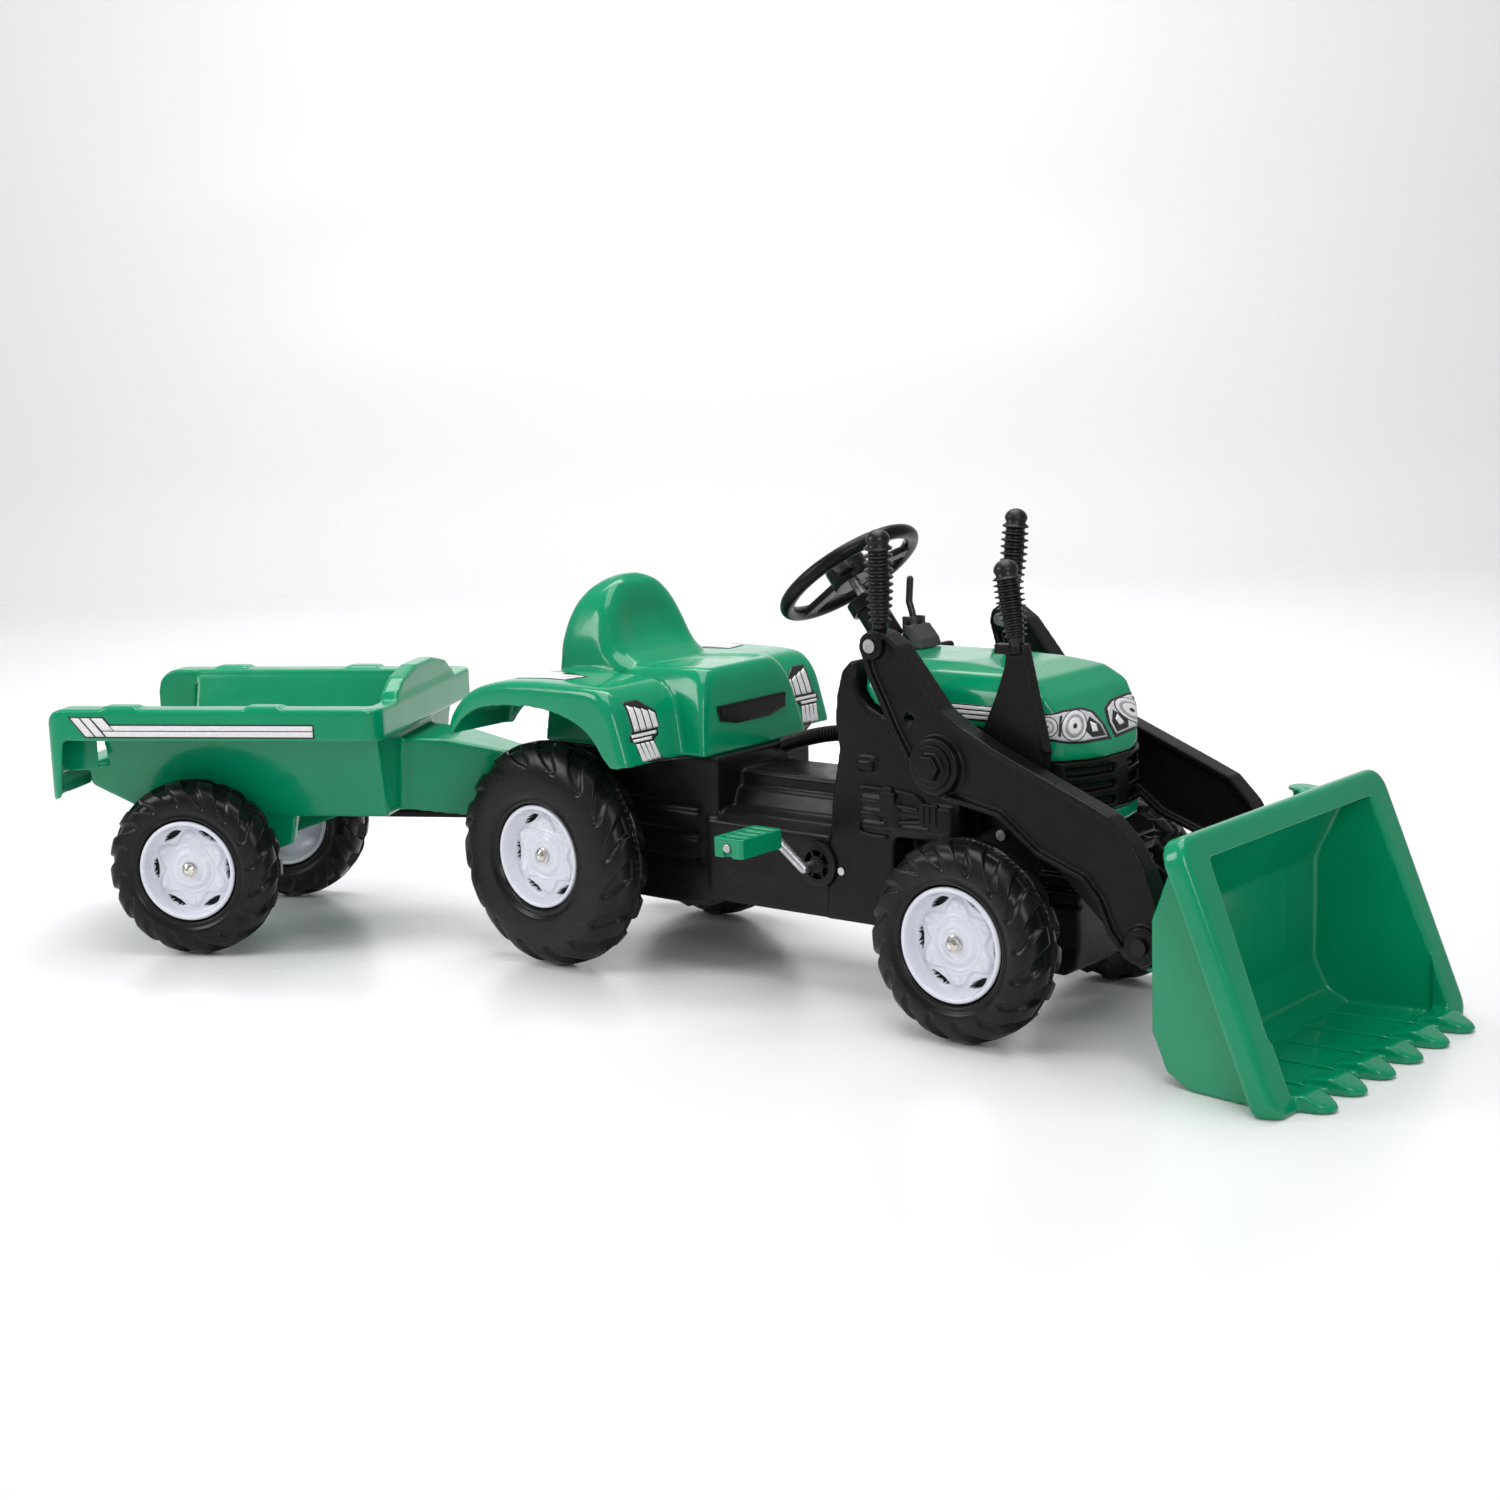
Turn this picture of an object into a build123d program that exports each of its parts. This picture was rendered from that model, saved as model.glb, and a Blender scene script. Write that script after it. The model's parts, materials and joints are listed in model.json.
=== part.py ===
"""Ride-on toy tractor with a front loader and a two-wheeled trailer. All sizes in millimetres.

While modelling, X is forward, Y is the driver's left and Z is up, with zero on the ground under the
rear axle. CENTRE then moves every part, so the bounding box of the whole toy is centred on the origin.
The trailer is modelled straight behind its own axle and then swung about the hitch pin.
"""
import os
from math import atan2, cos, degrees, hypot, radians, sin, tan

from build123d import *

# driving dimensions
CENTRE = (-150.642, 116.965, 0.0)
WHEELBASE = 600.0
REAR_R, REAR_HALF_W, REAR_TRACK = 137.0, 35.0, 149.0
SMALL_R, SMALL_HALF_W, FRONT_TRACK = 110.0, 33.0, 151.0
LUGS = 16
RIM_R = 62.0
AXLE_R = 6.0
RUN = 0.05                       # radial running clearance of a pin in its hole
CRANK_X, CRANK_Z = 362.0, 154.0
THROW_X, THROW_Z = -37.0, 36.0
FLANK = 96.0                     # half width of the front flanks
WELL = 60.0                      # half width between the front wheels
KING_Y = 98.0
HUB = Vector(345.0, 0.0, 475.0)
COLUMN_TILT = 37.0
STEER_ARM = 25.8
LEVER_PIN = (414.0, 418.0)
LIFT_X, LIFT_Z = 555.0, 291.0
ARM_IN, ARM_OUT = 113.0, 139.0
TIP_X, TIP_Z = 806.0, 128.0
LEVER_X, LEVER_Z = 630.0, 290.0
LINK_DX, LINK_DZ = -12.0, -24.0
HITCH_X, HITCH_Z = -80.0, 150.0
TRAILER_YAW = 27.3
DRAW_LENGTH = 470.0
TRAILER_TRACK = 154.0
TUB_TOP, RIM_LOW = 314.0, 273.0
TILT = radians(COLUMN_TILT)
COLUMN = Vector(-sin(TILT), 0.0, cos(TILT))
MOUTH_TOP, MOUTH_LOW = (898.0, 262.0), (1003.0, 2.0)


# small builders
def box(x0, x1, y0, y1, z0, z1):
    return Pos((x0 + x1) / 2, (y0 + y1) / 2, (z0 + z1) / 2) * Box(x1 - x0, y1 - y0, z1 - z0)


def rod(a, b, r):
    a, b = Vector(*a), Vector(*b)
    return Solid.make_cylinder(r, (b - a).length, Plane(origin=a, z_dir=b - a))


def rod_y(x, z, r, y0, y1):
    return rod((x, y0, z), (x, y1, z), r)


def ball(x, y, z, r):
    return Pos(x, y, z) * Sphere(r)


def swept_prism(points, vector):
    face = Face(Wire.make_polygon([Vector(*p) for p in points], close=True))
    return extrude(face, amount=Vector(*vector).length, dir=Vector(*vector).normalized())


def side_prism(points, y0, y1):
    """A side view outline (x, z), thick from y0 to y1."""
    return swept_prism([(x, y0, z) for x, z in points], (0, y1 - y0, 0))


def plan_prism(points, z0, z1):
    return swept_prism([(x, y, z0) for x, y in points], (0, 0, z1 - z0))


def front_prism(points, x0, x1):
    """A front view outline (y, z), thick from x0 to x1."""
    return swept_prism([(x0, y, z) for y, z in points], (x1 - x0, 0, 0))


def mirrored(shape):
    return mirror(shape, about=Plane.XZ)


def both(shape):
    return shape + mirrored(shape)


def slab(x0, z0, x1, z1, half, y0, y1):
    """A bar with round ends from one point to another in side view."""
    length = hypot(x1 - x0, z1 - z0)
    angle = degrees(atan2(z1 - z0, x1 - x0))
    bar = Pos(length / 2, 0, 0) * Box(length, y1 - y0, 2 * half)
    bar = Pos(x0, (y0 + y1) / 2, z0) * (Rot(0, -angle, 0) * bar)
    return bar + rod_y(x0, z0, half, y0, y1) + rod_y(x1, z1, half, y0, y1)


def bent_rod(points, r):
    shape = ball(*points[0], r)
    for a, b in zip(points, points[1:]):
        shape = shape + rod(a, b, r) + ball(*b, r)
    return shape


# wheels, modelled about the Y axis with +Y as the outer face
def turned(points):
    return revolve(Face(Wire.make_polygon([Vector(r, y, 0) for r, y in points], close=True)), axis=Axis.Y)


def tyre(radius, half):
    crown = radius - 6.0
    outer = [(RIM_R, 24), (RIM_R + 2.5, 25), (RIM_R + 7, half - 3), (RIM_R + 16, half), (crown - 14, half - 1.5)]
    outer += [(crown - 5, half - 7), (crown - 1, half - 15), (crown, half - 25)]
    outer += [(r, -y) for r, y in reversed(outer)]
    wall = [(RIM_R, 20), (RIM_R + 4, 21), (RIM_R + 9, half - 7), (RIM_R + 16, half - 4), (crown - 16, half - 5.5)]
    wall += [(crown - 8, half - 11), (crown - 5, half - 20)]
    wall += [(r, -y) for r, y in reversed(wall)]
    carcass = turned(outer + list(reversed(wall)))
    core = turned([(RIM_R - 2, 24)] + outer + [(RIM_R - 2, -24)])
    shell = turned([(RIM_R, half), (crown - 14, half), (radius - 5, half - 5), (radius, half - 14),
                    (radius, 2), (RIM_R, 2)])
    bar = Pos(radius - 12, half / 2 + 1, 0) * (Rot(24, 0, 0) * Box(30, half * 1.3, radius * 0.125))
    lug = (bar & shell) - core
    lugs = [Rot(0, 360.0 * i / LUGS, 0) * lug for i in range(LUGS)]
    other = mirror(lug, about=Plane.XZ)
    lugs += [Rot(0, 360.0 * (i + 0.5) / LUGS, 0) * other for i in range(LUGS)]
    seam = turned([(crown - 1, 1.8), (crown + 3.5, 1.8), (crown + 3.5, -1.8), (crown - 1, -1.8)])
    return carcass.fuse(seam, *[s for lug_part in lugs for s in lug_part.solids()])


def rim():
    barrel = turned([(57, -26), (RIM_R - 0.1, -26), (RIM_R - 0.1, 28), (57, 28)])
    lip = turned([(55, 26), (63, 26), (63, 29), (60, 31), (57, 31), (55, 29)])
    disc = turned([(12, 8), (58, 8), (58, 12), (28, 12), (23, 19), (12, 19)])
    hub = turned([(AXLE_R + RUN, -30), (13, -30), (13, 19), (AXLE_R + RUN, 19)])
    shape = barrel + lip + disc + hub
    for i in range(6):
        angle = 60.0 * i
        blade = Rot(0, angle, 0) * (Pos(45, 10, 0) * (Rot(90, 0, 0) * extrude(Ellipse(4.2, 11), 6, both=True)))
        bump = Rot(0, angle + 30.0, 0) * (Pos(43, 11.5, 0) * Sphere(4.5))
        rib = Rot(0, angle + 30.0, 0) * box(12, 58, -10, 9, -1.5, 1.5)
        shape = shape - blade + bump + rib
    return shape


def dome_nut():
    """A domed nut on the axle end, from the hub face outwards."""
    cap = turned([(0, 19.6), (9.5, 19.6), (9.5, 22), (8.4, 22.4), (7.4, 26), (4, 28.5), (0, 29)])
    return cap - rod((0, 18, 0), (0, 25, 0), AXLE_R)


def near(shape, x, track, z):
    """A wheel part on the driver's right, its outer face towards -Y."""
    return Pos(x, -track, z) * (Rot(0, 0, 180) * shape)


def far(shape, x, track, z):
    return Pos(x, track, z) * shape


def sprocket(r, teeth, y):
    disc = rod_y(0, 0, r - 4, y - 1.5, y + 1.5)
    for i in range(teeth):
        tooth = side_prism([(r - 6, -3.2), (r + 2, -1), (r + 2, 1), (r - 6, 3.2)], y - 1.5, y + 1.5)
        disc = disc + Rot(0, 360.0 * i / teeth, 0) * tooth
    return disc


# tractor body
def chassis_hull():
    pedestal = side_prism([(-55, 118), (-30, 82), (188, 80), (205, 96), (212, 262), (-60, 262)], -88, 88)
    deck = box(195, 396, -44, 44, 200, 241)
    shelf = front_prism([(-88, 90), (-92, 186), (-80, 198), (-58, 201), (-50, 222), (50, 222), (58, 201),
                         (80, 198), (92, 186), (88, 90)], 195, 396)
    flank = side_prism([(372, 92), (384, 230), (396, 290), (391, 320), (394, 350), (402, 378), (414, 390),
                        (423, 391), (425, 382), (421, 370), (424, 354), (436, 341), (456, 332), (510, 328), (650, 318), (650, 272), (560, 272),
                        (556, 200), (470, 196), (462, 92)], -FLANK, FLANK)
    core = side_prism([(440, 100), (575, 100), (582, 88.5), (634, 88.5), (639, 100), (639, 300), (440, 300)],
                      -WELL, WELL)
    return pedestal + deck + shelf + flank + core


def chassis_hollow():
    seat_room = side_prism([(-46, 122), (-26, 90), (184, 88), (198, 100), (204, 254), (-51, 254)], -81, 81)
    deck_room = box(190, 400, -37, 37, 180, 234)
    shelf_room = box(190, 400, -80, 80, 98, 192)
    flank_room = side_prism([(380, 100), (392, 230), (404, 290), (398, 320), (401, 348), (408, 373),
                             (415, 382), (417, 380), (413, 370), (417, 350), (431, 334), (453, 325),
                             (506, 321), (640, 310), (640, 279),
                             (552, 279), (549, 207), (463, 204), (455, 100)], -FLANK + 7, FLANK - 7)
    core_room = box(440, 631, -WELL + 7, WELL - 7, 108, 285) + box(530, 622, -WELL + 7, WELL - 7, 96, 110)
    return seat_room + deck_room + shelf_room + flank_room + core_room


def chassis_body():
    shape = chassis_hull() - chassis_hollow()
    for z in (198, 165, 132):
        shape = shape - both(slab(60, z, 176, z, 5, -91, -83))
    shape = shape - both(box(232, 296, -95, -89.6, 112, 166))
    shape = shape - rod_y(0, REAR_R, AXLE_R + RUN, -100, 100)
    shape = shape - rod_y(CRANK_X, CRANK_Z, 22, -100, 100)
    shape = shape - rod_y(LIFT_X, LIFT_Z, 9, -100, 100)
    shape = shape - rod(HUB - COLUMN * 30, HUB - COLUMN * 470, 11)
    shape = shape - both(box(534, 568, -WELL - 5, -WELL + 12, 96, 109))
    shape = shape - both(rod_y(CRANK_X, CRANK_Z, 26.2, -110, -92.6))
    for x, z, length in ((430, 236, 40), (430, 222, 26), (470, 226, 70), (430, 208, 110)):
        shape = shape + both(slab(x, z, x + length, z, 3.5, -FLANK - 3, -FLANK + 2))
    for x, w in ((462, 16), (520, 30)):
        shape = shape + both(box(x, x + w, -FLANK - 4, -FLANK + 2, 206, 236))
    shape = shape + both(box(424, 446, -FLANK - 7, -FLANK + 2, 270, 282))
    for y in (-90, 90):
        shape = shape - rod_y(LIFT_X, LIFT_Z, 9, y - 8, y + 8)
    return shape


def nose_cover():
    outline = [(641, 219), (690, 219), (701, 204), (699, 172), (692, 140), (684, 104), (672, 64), (656, 54),
               (636, 55), (622, 68), (620, 77), (641, 92)]
    shape = side_prism(outline, -74, 74) & front_prism(
        [(-60, 221), (-74, 205), (-74, 140), (-52, 90), (-46, 50), (46, 50), (52, 90), (74, 140), (74, 205),
         (60, 221)], 600, 720)
    shape = shape - (side_prism([(641, 211), (686, 211), (691, 202), (690, 172), (684, 140), (676, 106),
                                 (664, 70), (655, 64), (641, 64)], -45, 45))
    for z in (122, 140, 158, 176, 194):
        shape = shape - both(box(630, 730, -76, -67, z - 3, z + 3)) - box(693, 730, -80, 80, z - 3, z + 3)
    return shape


def hood_block(t):
    """The hood's outside, or its inside when shrunk by the wall t."""
    side = side_prism([(427 + t, 391 - t), (424 + t, 372), (427 + t, 357), (439 + t, 344 + t), (459, 335 + t),
                       (513, 331 + t), (652 + t, 321 + t), (652 + t, 222), (702 - t, 222), (702 - t, 285),
                       (700 - t, 293), (694 - t, 310), (677 - t, 338 - t / 2), (662 - t, 362 - t / 2),
                       (640, 380 - t), (600, 388 - t), (540, 392 - t)], -89 + t, 89 - t)
    plan = plan_prism([(400, -89 + t), (650, -89 + t), (676 - t, -76 + t), (694 - t, -48 + t), (702 - t, -16),
                       (702 - t, 16), (694 - t, 48 - t), (676 - t, 76 - t), (650, 89 - t), (400, 89 - t)],
                      200, 420)
    front = front_prism([(-89 + t, 200), (-89 + t, 345), (-84 + t, 366), (-72 + t, 382 - t), (-50, 393 - t),
                         (50, 393 - t), (72 - t, 382 - t), (84 - t, 366), (89 - t, 345), (89 - t, 200)], 400, 720)
    return side & plan & front


def hood():
    window = box(640, 720, -81, 81, 238, 296)
    inner = hood_block(5)
    shape = hood_block(0) - inner - window
    shape = shape - box(400, 651.5, -95, 95, 200, 318.5)
    shape = shape - side_prism([(437, 338), (458, 330), (514, 326), (654, 316), (654, 327), (514, 337.5), (461, 342),
                                (447, 349)], -84, 84)
    return shape - rod(HUB, HUB - COLUMN * 470, 12)


def grille():
    block = hood_block(-1.5) & box(652, 720, -80.5, 80.5, 238.5, 295.5)
    block = block - (hood_block(11) & box(600, 720, -90, 90, 230, 302))
    for z in (245, 262, 279):
        for y in (-74, 12):
            slot = hood_block(-2) & box(640, 720, y, y + 62, z, z + 10)
            backing = (hood_block(6) & box(652, 720, y - 1, y + 63, z - 1, z + 11)) - hood_block(11)
            block = block - slot + backing
    return block


def seat_shell():
    pan = side_prism([(-58, 263), (-58, 344), (30, 352), (60, 362), (120, 366), (170, 368), (188, 356),
                      (190, 320), (200, 263)], -96, 96)
    pan = pan & front_prism([(-96, 262), (-92, 330), (-84, 362), (-74, 370), (74, 370), (84, 362), (92, 330),
                             (96, 262)], -80, 220)
    back = side_prism([(-58, 340), (-52, 380), (-36, 430), (-12, 456), (6, 461), (20, 452), (34, 410),
                       (62, 366), (62, 340)], -84, 84)
    back = back & front_prism([(-86, 330), (-82, 385), (-66, 430), (-40, 455), (-16, 461), (16, 461), (40, 455),
                               (66, 430), (82, 385), (86, 330)], -80, 80)
    dish = ball(120, 0, 760, 400) & box(62, 186, -70, 70, 340, 400)
    hollow = side_prism([(-52, 260), (-52, 338), (30, 346), (120, 356), (166, 360), (181, 350), (184, 320),
                         (194, 260)], -86, 86) & front_prism(
        [(-90, 255), (-84, 330), (-76, 354), (-68, 362), (68, 362), (76, 354), (84, 330), (90, 255)], -80, 220)
    back_hollow = side_prism([(-50, 330), (-45, 380), (-30, 425), (-9, 449), (5, 453), (14, 447), (27, 406),
                              (52, 362), (52, 330)], -74, 74) & front_prism(
        [(-76, 320), (-74, 383), (-60, 424), (-37, 447), (37, 447), (60, 424), (74, 383), (76, 320)], -80, 80)
    shape = pan + back - dish - hollow - back_hollow
    return shape + fender() + mirrored(fender())


def fender():
    outer = side_prism([(-134, 276), (-121, 310), (-88, 338), (-40, 350), (60, 352), (118, 350), (142, 332),
                        (166, 262), (140, 256), (124, 264), (106, 296), (60, 318), (0, 322), (-62, 318),
                        (-100, 300), (-120, 278)], -195, -88.3)
    inner = side_prism([(-131, 250), (-117, 307), (-86, 333), (-40, 345), (60, 347), (115, 345), (137, 329),
                        (162, 250)], -190, -70)
    roof = side_prism([(-134, 276), (-121, 310), (-88, 338), (-40, 350), (60, 352), (118, 350), (142, 332),
                       (166, 262), (162, 262), (137, 329), (115, 345), (60, 347), (-40, 345), (-86, 333),
                       (-117, 307), (-130, 276)], -195, -93)
    return (outer - inner) + roof


def seat_panel():
    outline = [(-64, 318), (-62, 300), (-30, 293), (30, 293), (62, 300), (64, 318)]
    return front_prism(outline, 180, 197) - side_prism(
        [(160, 250), (202, 250), (200.5, 262), (190.4, 320), (160, 330)], -70, 70)


UNDER_DASH = [(380, 300), (390.6, 320), (393.6, 350), (401.6, 378.4), (413.8, 390.5), (427, 391.5), (480, 392.5),
              (480, 300)]


def dash_pod():
    shape = side_prism([(402.6, 379.6), (413.6, 390.6), (440, 392), (437, 402), (424, 417), (414, 417), (401, 401)],
                       8, 46)
    shape = shape - hood_block(-0.4) - side_prism(UNDER_DASH, -60, 60)
    ears = box(405, 423, 17, 22, 404, 426) + box(405, 423, 34, 39, 404, 426)
    shape = shape + ears - rod_y(*LEVER_PIN, 7, 22, 34) - rod_y(*LEVER_PIN, 3 + RUN, 10, 50)
    return shape - rod(HUB, HUB - COLUMN * 200, 18.3)


def column_shroud():
    top, low = HUB - COLUMN * 34, HUB - COLUMN * 92
    shape = rod(top, low, 18) + rod(top, top - COLUMN * 16, 23)
    shape = shape - rod(HUB, HUB - COLUMN * 200, 9) - side_prism(UNDER_DASH, -60, 60)
    return shape


def hose():
    """A stiff hose from the seat's foot to the front flank."""
    line = FilletPolyline((204, 36, 255), (240, 36, 268), (290, 36, 280), (340, 36, 282), (386, 36, 276),
                          radius=60)
    tube = sweep(Plane(origin=line @ 0, z_dir=line % 0) * Circle(9), line)
    return tube - box(150, 213, -90, 90, 200, 330) - box(384.8, 460, -90, 90, 200, 330)


def axle_beam():
    bar = box(589, 611, -KING_Y - 10, KING_Y + 10, 78, 88)
    pin = rod((WHEELBASE, -KING_Y, 86), (WHEELBASE, -KING_Y, 134), 5)
    cap = rod((WHEELBASE, -KING_Y, 131), (WHEELBASE, -KING_Y, 135), 8.5)
    return bar + both(pin + cap)


def tow_bracket():
    plates = box(-100, -58, -18, 18, 132, 138) + box(-100, -58, -18, 18, 162, 168)
    back = box(-63, -57.5, -30, 30, 122, 180) - side_prism([(-55, 118), (-56, 122), (-60, 262), (0, 262),
                                                           (0, 118)], -60, 60)
    return plates + back - rod((HITCH_X, 0, 120), (HITCH_X, 0, 180), 6)


def hitch_pin():
    pin = rod((HITCH_X, 0, 126), (HITCH_X, 0, 176), 6)
    head = rod((HITCH_X, 0, 168.2), (HITCH_X, 0, 174), 12) + ball(HITCH_X, 0, 178, 8)
    return pin + head


def crank_bearings():
    ring = rod_y(CRANK_X, CRANK_Z, 21.9, -99, -89) + rod_y(CRANK_X, CRANK_Z, 26, -99, -92.6)
    ring = ring - rod_y(CRANK_X, CRANK_Z, 17, -100, -91.5) + rod_y(CRANK_X, CRANK_Z, 10, -99, -89)
    for i in range(6):
        spoke = box(8, 18, -98, -90, -1.6, 1.6)
        ring = ring + Pos(CRANK_X, 0, CRANK_Z) * (Rot(0, 60.0 * i, 0) * spoke)
    return both(ring - rod_y(CRANK_X, CRANK_Z, AXLE_R + RUN, -110, -80))


def pivot_pins():
    pin = rod_y(LIFT_X, LIFT_Z, 9, -145, -84)
    washer = rod_y(LIFT_X, LIFT_Z, 20, -112, -96.2)
    hexagon = Pos(LIFT_X, -142.8, LIFT_Z) * (Rot(90, 0, 0) * extrude(RegularPolygon(15, 6), 12))
    disc = rod_y(LIFT_X, LIFT_Z, 24, -145, -142.6)
    return both(pin + washer + hexagon + disc)


def chain():
    length = hypot(CRANK_X, CRANK_Z - REAR_R)
    angle = degrees(atan2(CRANK_Z - REAR_R, CRANK_X))
    r0, r1 = 22.0, 28.0

    def loop(a, b, y0, y1):
        lean = degrees(atan2(b - a, length))
        wedge = Face(Wire.make_polygon(
            [Vector(-a * sin(radians(lean)), y0, a * cos(radians(lean))),
             Vector(length - b * sin(radians(lean)), y0, b * cos(radians(lean))),
             Vector(length - b * sin(radians(lean)), y0, -b * cos(radians(lean))),
             Vector(-a * sin(radians(lean)), y0, -a * cos(radians(lean)))], close=True))
        return extrude(wedge, y1 - y0, dir=(0, 1, 0)) + rod_y(0, 0, a, y0, y1) + rod_y(length, 0, b, y0, y1)

    band = loop(r0 + 5, r1 + 5, 36, 44) - loop(r0 - 3, r1 - 3, 35, 45) - loop(r0 + 3, r1 + 3, 37.6, 42.4)
    return Pos(0, 0, REAR_R) * (Rot(0, -angle, 0) * band)


def hood_stickers():
    return both(side_prism([(540, 336), (636, 336), (636, 350), (532, 350)], -89.5, -89.0))


def headlight_stickers():
    skin = hood_block(-0.5) - hood_block(0)
    zone = front_prism([(-88, 326), (-88, 342), (-76, 350), (-58, 346), (-40, 334), (-28, 318), (-60, 316)],
                       640, 720)
    return both(zone & skin)


def fender_stickers():
    top = side_prism([(-38, 350.09), (38, 351.61), (38, 352.11), (-38, 350.59)], -170, -118)
    high, low = (144.45, 325.0), (162.62, 272.0)
    face = side_prism([high, (high[0] + 0.5, high[1] + 0.17), (low[0] + 0.5, low[1] + 0.17), low], -168, -128)
    return both(top) + both(face)


def body_screws():
    crank_screw = rod_y(396, 150, 4.5, -FLANK - 2, -FLANK)
    side_screw = rod_y(589, 206, 6, -WELL - 4, -WELL)
    return both(crank_screw) + both(side_screw) + both(rod_y(640, 300, 5, -FLANK - 1.2, -FLANK))


# steering
def wheel_frame():
    return Plane(origin=HUB, x_dir=(cos(TILT), 0, sin(TILT)), z_dir=COLUMN).location


def steering_wheel():
    ring = Torus(82, 8.5)
    hub = Cylinder(25, 26) - Pos(0, 0, 8) * Cylinder(21.5, 12)
    shape = ring + hub
    for angle in (180, 60, -60):
        shape = shape + Rot(0, 0, angle) * box(20, 80, -9, 9, -6, 2)
    shape = shape - Pos(0, 0, -10) * Cylinder(6, 14) - Pos(0, 0, -3) * Cylinder(9, 2)
    return wheel_frame() * shape


def horn_button():
    cap = Cylinder(21, 6) + Pos(0, 0, 5) * Cone(21, 15, 4) + Pos(0, 0, -5) * Cylinder(5, 4)
    return wheel_frame() * (Pos(0, 0, 12) * cap)


def steering_shaft():
    foot = HUB - COLUMN * ((HUB.Z - 118.5) / cos(TILT))
    pin = Vector(foot.X - STEER_ARM * cos(TILT), 0, foot.Z - STEER_ARM * sin(TILT))
    elbow = foot + COLUMN * 16
    knee = pin + COLUMN * 16
    shape = rod(HUB - COLUMN * 4, elbow, 6) + ball(*elbow, 6) + rod(elbow, knee, 6) + ball(*knee, 6)
    return shape + rod(knee, pin, 4) + ball(*pin, 4.5)


def gear_lever():
    x, z = LEVER_PIN
    rod_part = bent_rod([(x, 28, z), (x - 2, 28, z + 12), (x - 6, 28, z + 24), (x - 4, 28, z + 50)], 4)
    barrel = rod_y(x, z, 6, 22.6, 33.4) + rod_y(x, z, 3, 17.2, 38.8)
    return rod_part + barrel


def steering_link():
    bar = box(538, 562, -112, 112, 101, 105)
    tongue = box(555, 606, -24, 24, 101, 105)
    shape = bar + tongue - both(box(540.5, 559.5, -KING_Y - 5.5, -KING_Y + 5.5, 100, 106))
    foot_x = HUB.X + (HUB.Z - 118.5) * tan(TILT) - STEER_ARM * cos(TILT)
    return shape - box(foot_x - 7, foot_x + 9, -6, 6, 100, 106)


def knuckle():
    sleeve = rod((WHEELBASE, -KING_Y, 89), (WHEELBASE, -KING_Y, 130.4), 11)
    stub = rod_y(WHEELBASE, SMALL_R, AXLE_R, -FRONT_TRACK - 24, -KING_Y - 8)
    shoulder = rod_y(WHEELBASE, SMALL_R, 10.5, -FRONT_TRACK + 30.6, -KING_Y - 8)
    arm = box(543, 596, -KING_Y - 7, -KING_Y + 7, 91, 95)
    pin = rod((550, -KING_Y, 94), (550, -KING_Y, 103), 2.8) + ball(550, -KING_Y, 103, 4)
    shape = sleeve + stub + shoulder + arm + pin
    return shape - rod((WHEELBASE, -KING_Y, 80), (WHEELBASE, -KING_Y, 140), 5 + RUN)


# drive
def rear_axle():
    shaft = rod_y(0, REAR_R, AXLE_R, -REAR_TRACK - 24, REAR_TRACK + 24)
    collar = rod_y(0, REAR_R, 11, 89, 92)
    return shaft + both(collar) + Pos(0, 0, REAR_R) * sprocket(22, 11, 40) + rod_y(0, REAR_R, 12, 32, 38.4)


def pedal_crank():
    shaft = rod_y(CRANK_X, CRANK_Z, AXLE_R, -122, 122)
    px, pz = CRANK_X + THROW_X, CRANK_Z + THROW_Z
    fx, fz = CRANK_X - THROW_X, CRANK_Z - THROW_Z
    near_arm = bent_rod([(CRANK_X, -122, CRANK_Z), (px, -131, pz)], AXLE_R) + rod_y(px, pz, 5, -213, -131)
    far_arm = bent_rod([(CRANK_X, 122, CRANK_Z), (fx, 131, fz)], AXLE_R) + rod_y(fx, fz, 5, 131, 213)
    wheel = Pos(CRANK_X, 0, CRANK_Z) * sprocket(28, 14, 40) + rod_y(CRANK_X, CRANK_Z, 12, 32, 38.4)
    return shaft + near_arm + far_arm + wheel


def pedal(x, z):
    block = box(x - 21, x + 21, -211, -137.5, z - 11, z + 11)
    block = chamfer(block.edges().filter_by(Axis.Z), 3)
    block = block - box(x - 6, x + 6, -212, -205, z - 12, z - 2)
    for y in (-196, -180, -164, -148):
        block = block - box(x - 17, x + 17, y - 3, y + 3, z + 8, z + 12)
    return block - rod_y(x, z, 5 + RUN, -220, -130)


# loader
ARM_GRIP = (Vector(480.6, -127.2, 436), Vector(485, -134, 528))
TILT_GRIP = (Vector(638.5, -103, 426.5), Vector(627, -103, 498))
ARM_OUTLINE = [(460, 412), (468, 384), (480, 362), (498, 326), (522, 286), (545, 262), (564, 256), (633, 243),
               (680, 207), (735, 187), (752, 168), (766, 136), (786, 112), (806, 106), (824, 114), (828, 134),
               (825, 172), (812, 206), (796, 232), (770, 258), (740, 271), (631, 316), (590, 336), (566, 352),
               (540, 384), (512, 418), (494, 430), (476, 434), (464, 426)]


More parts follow.
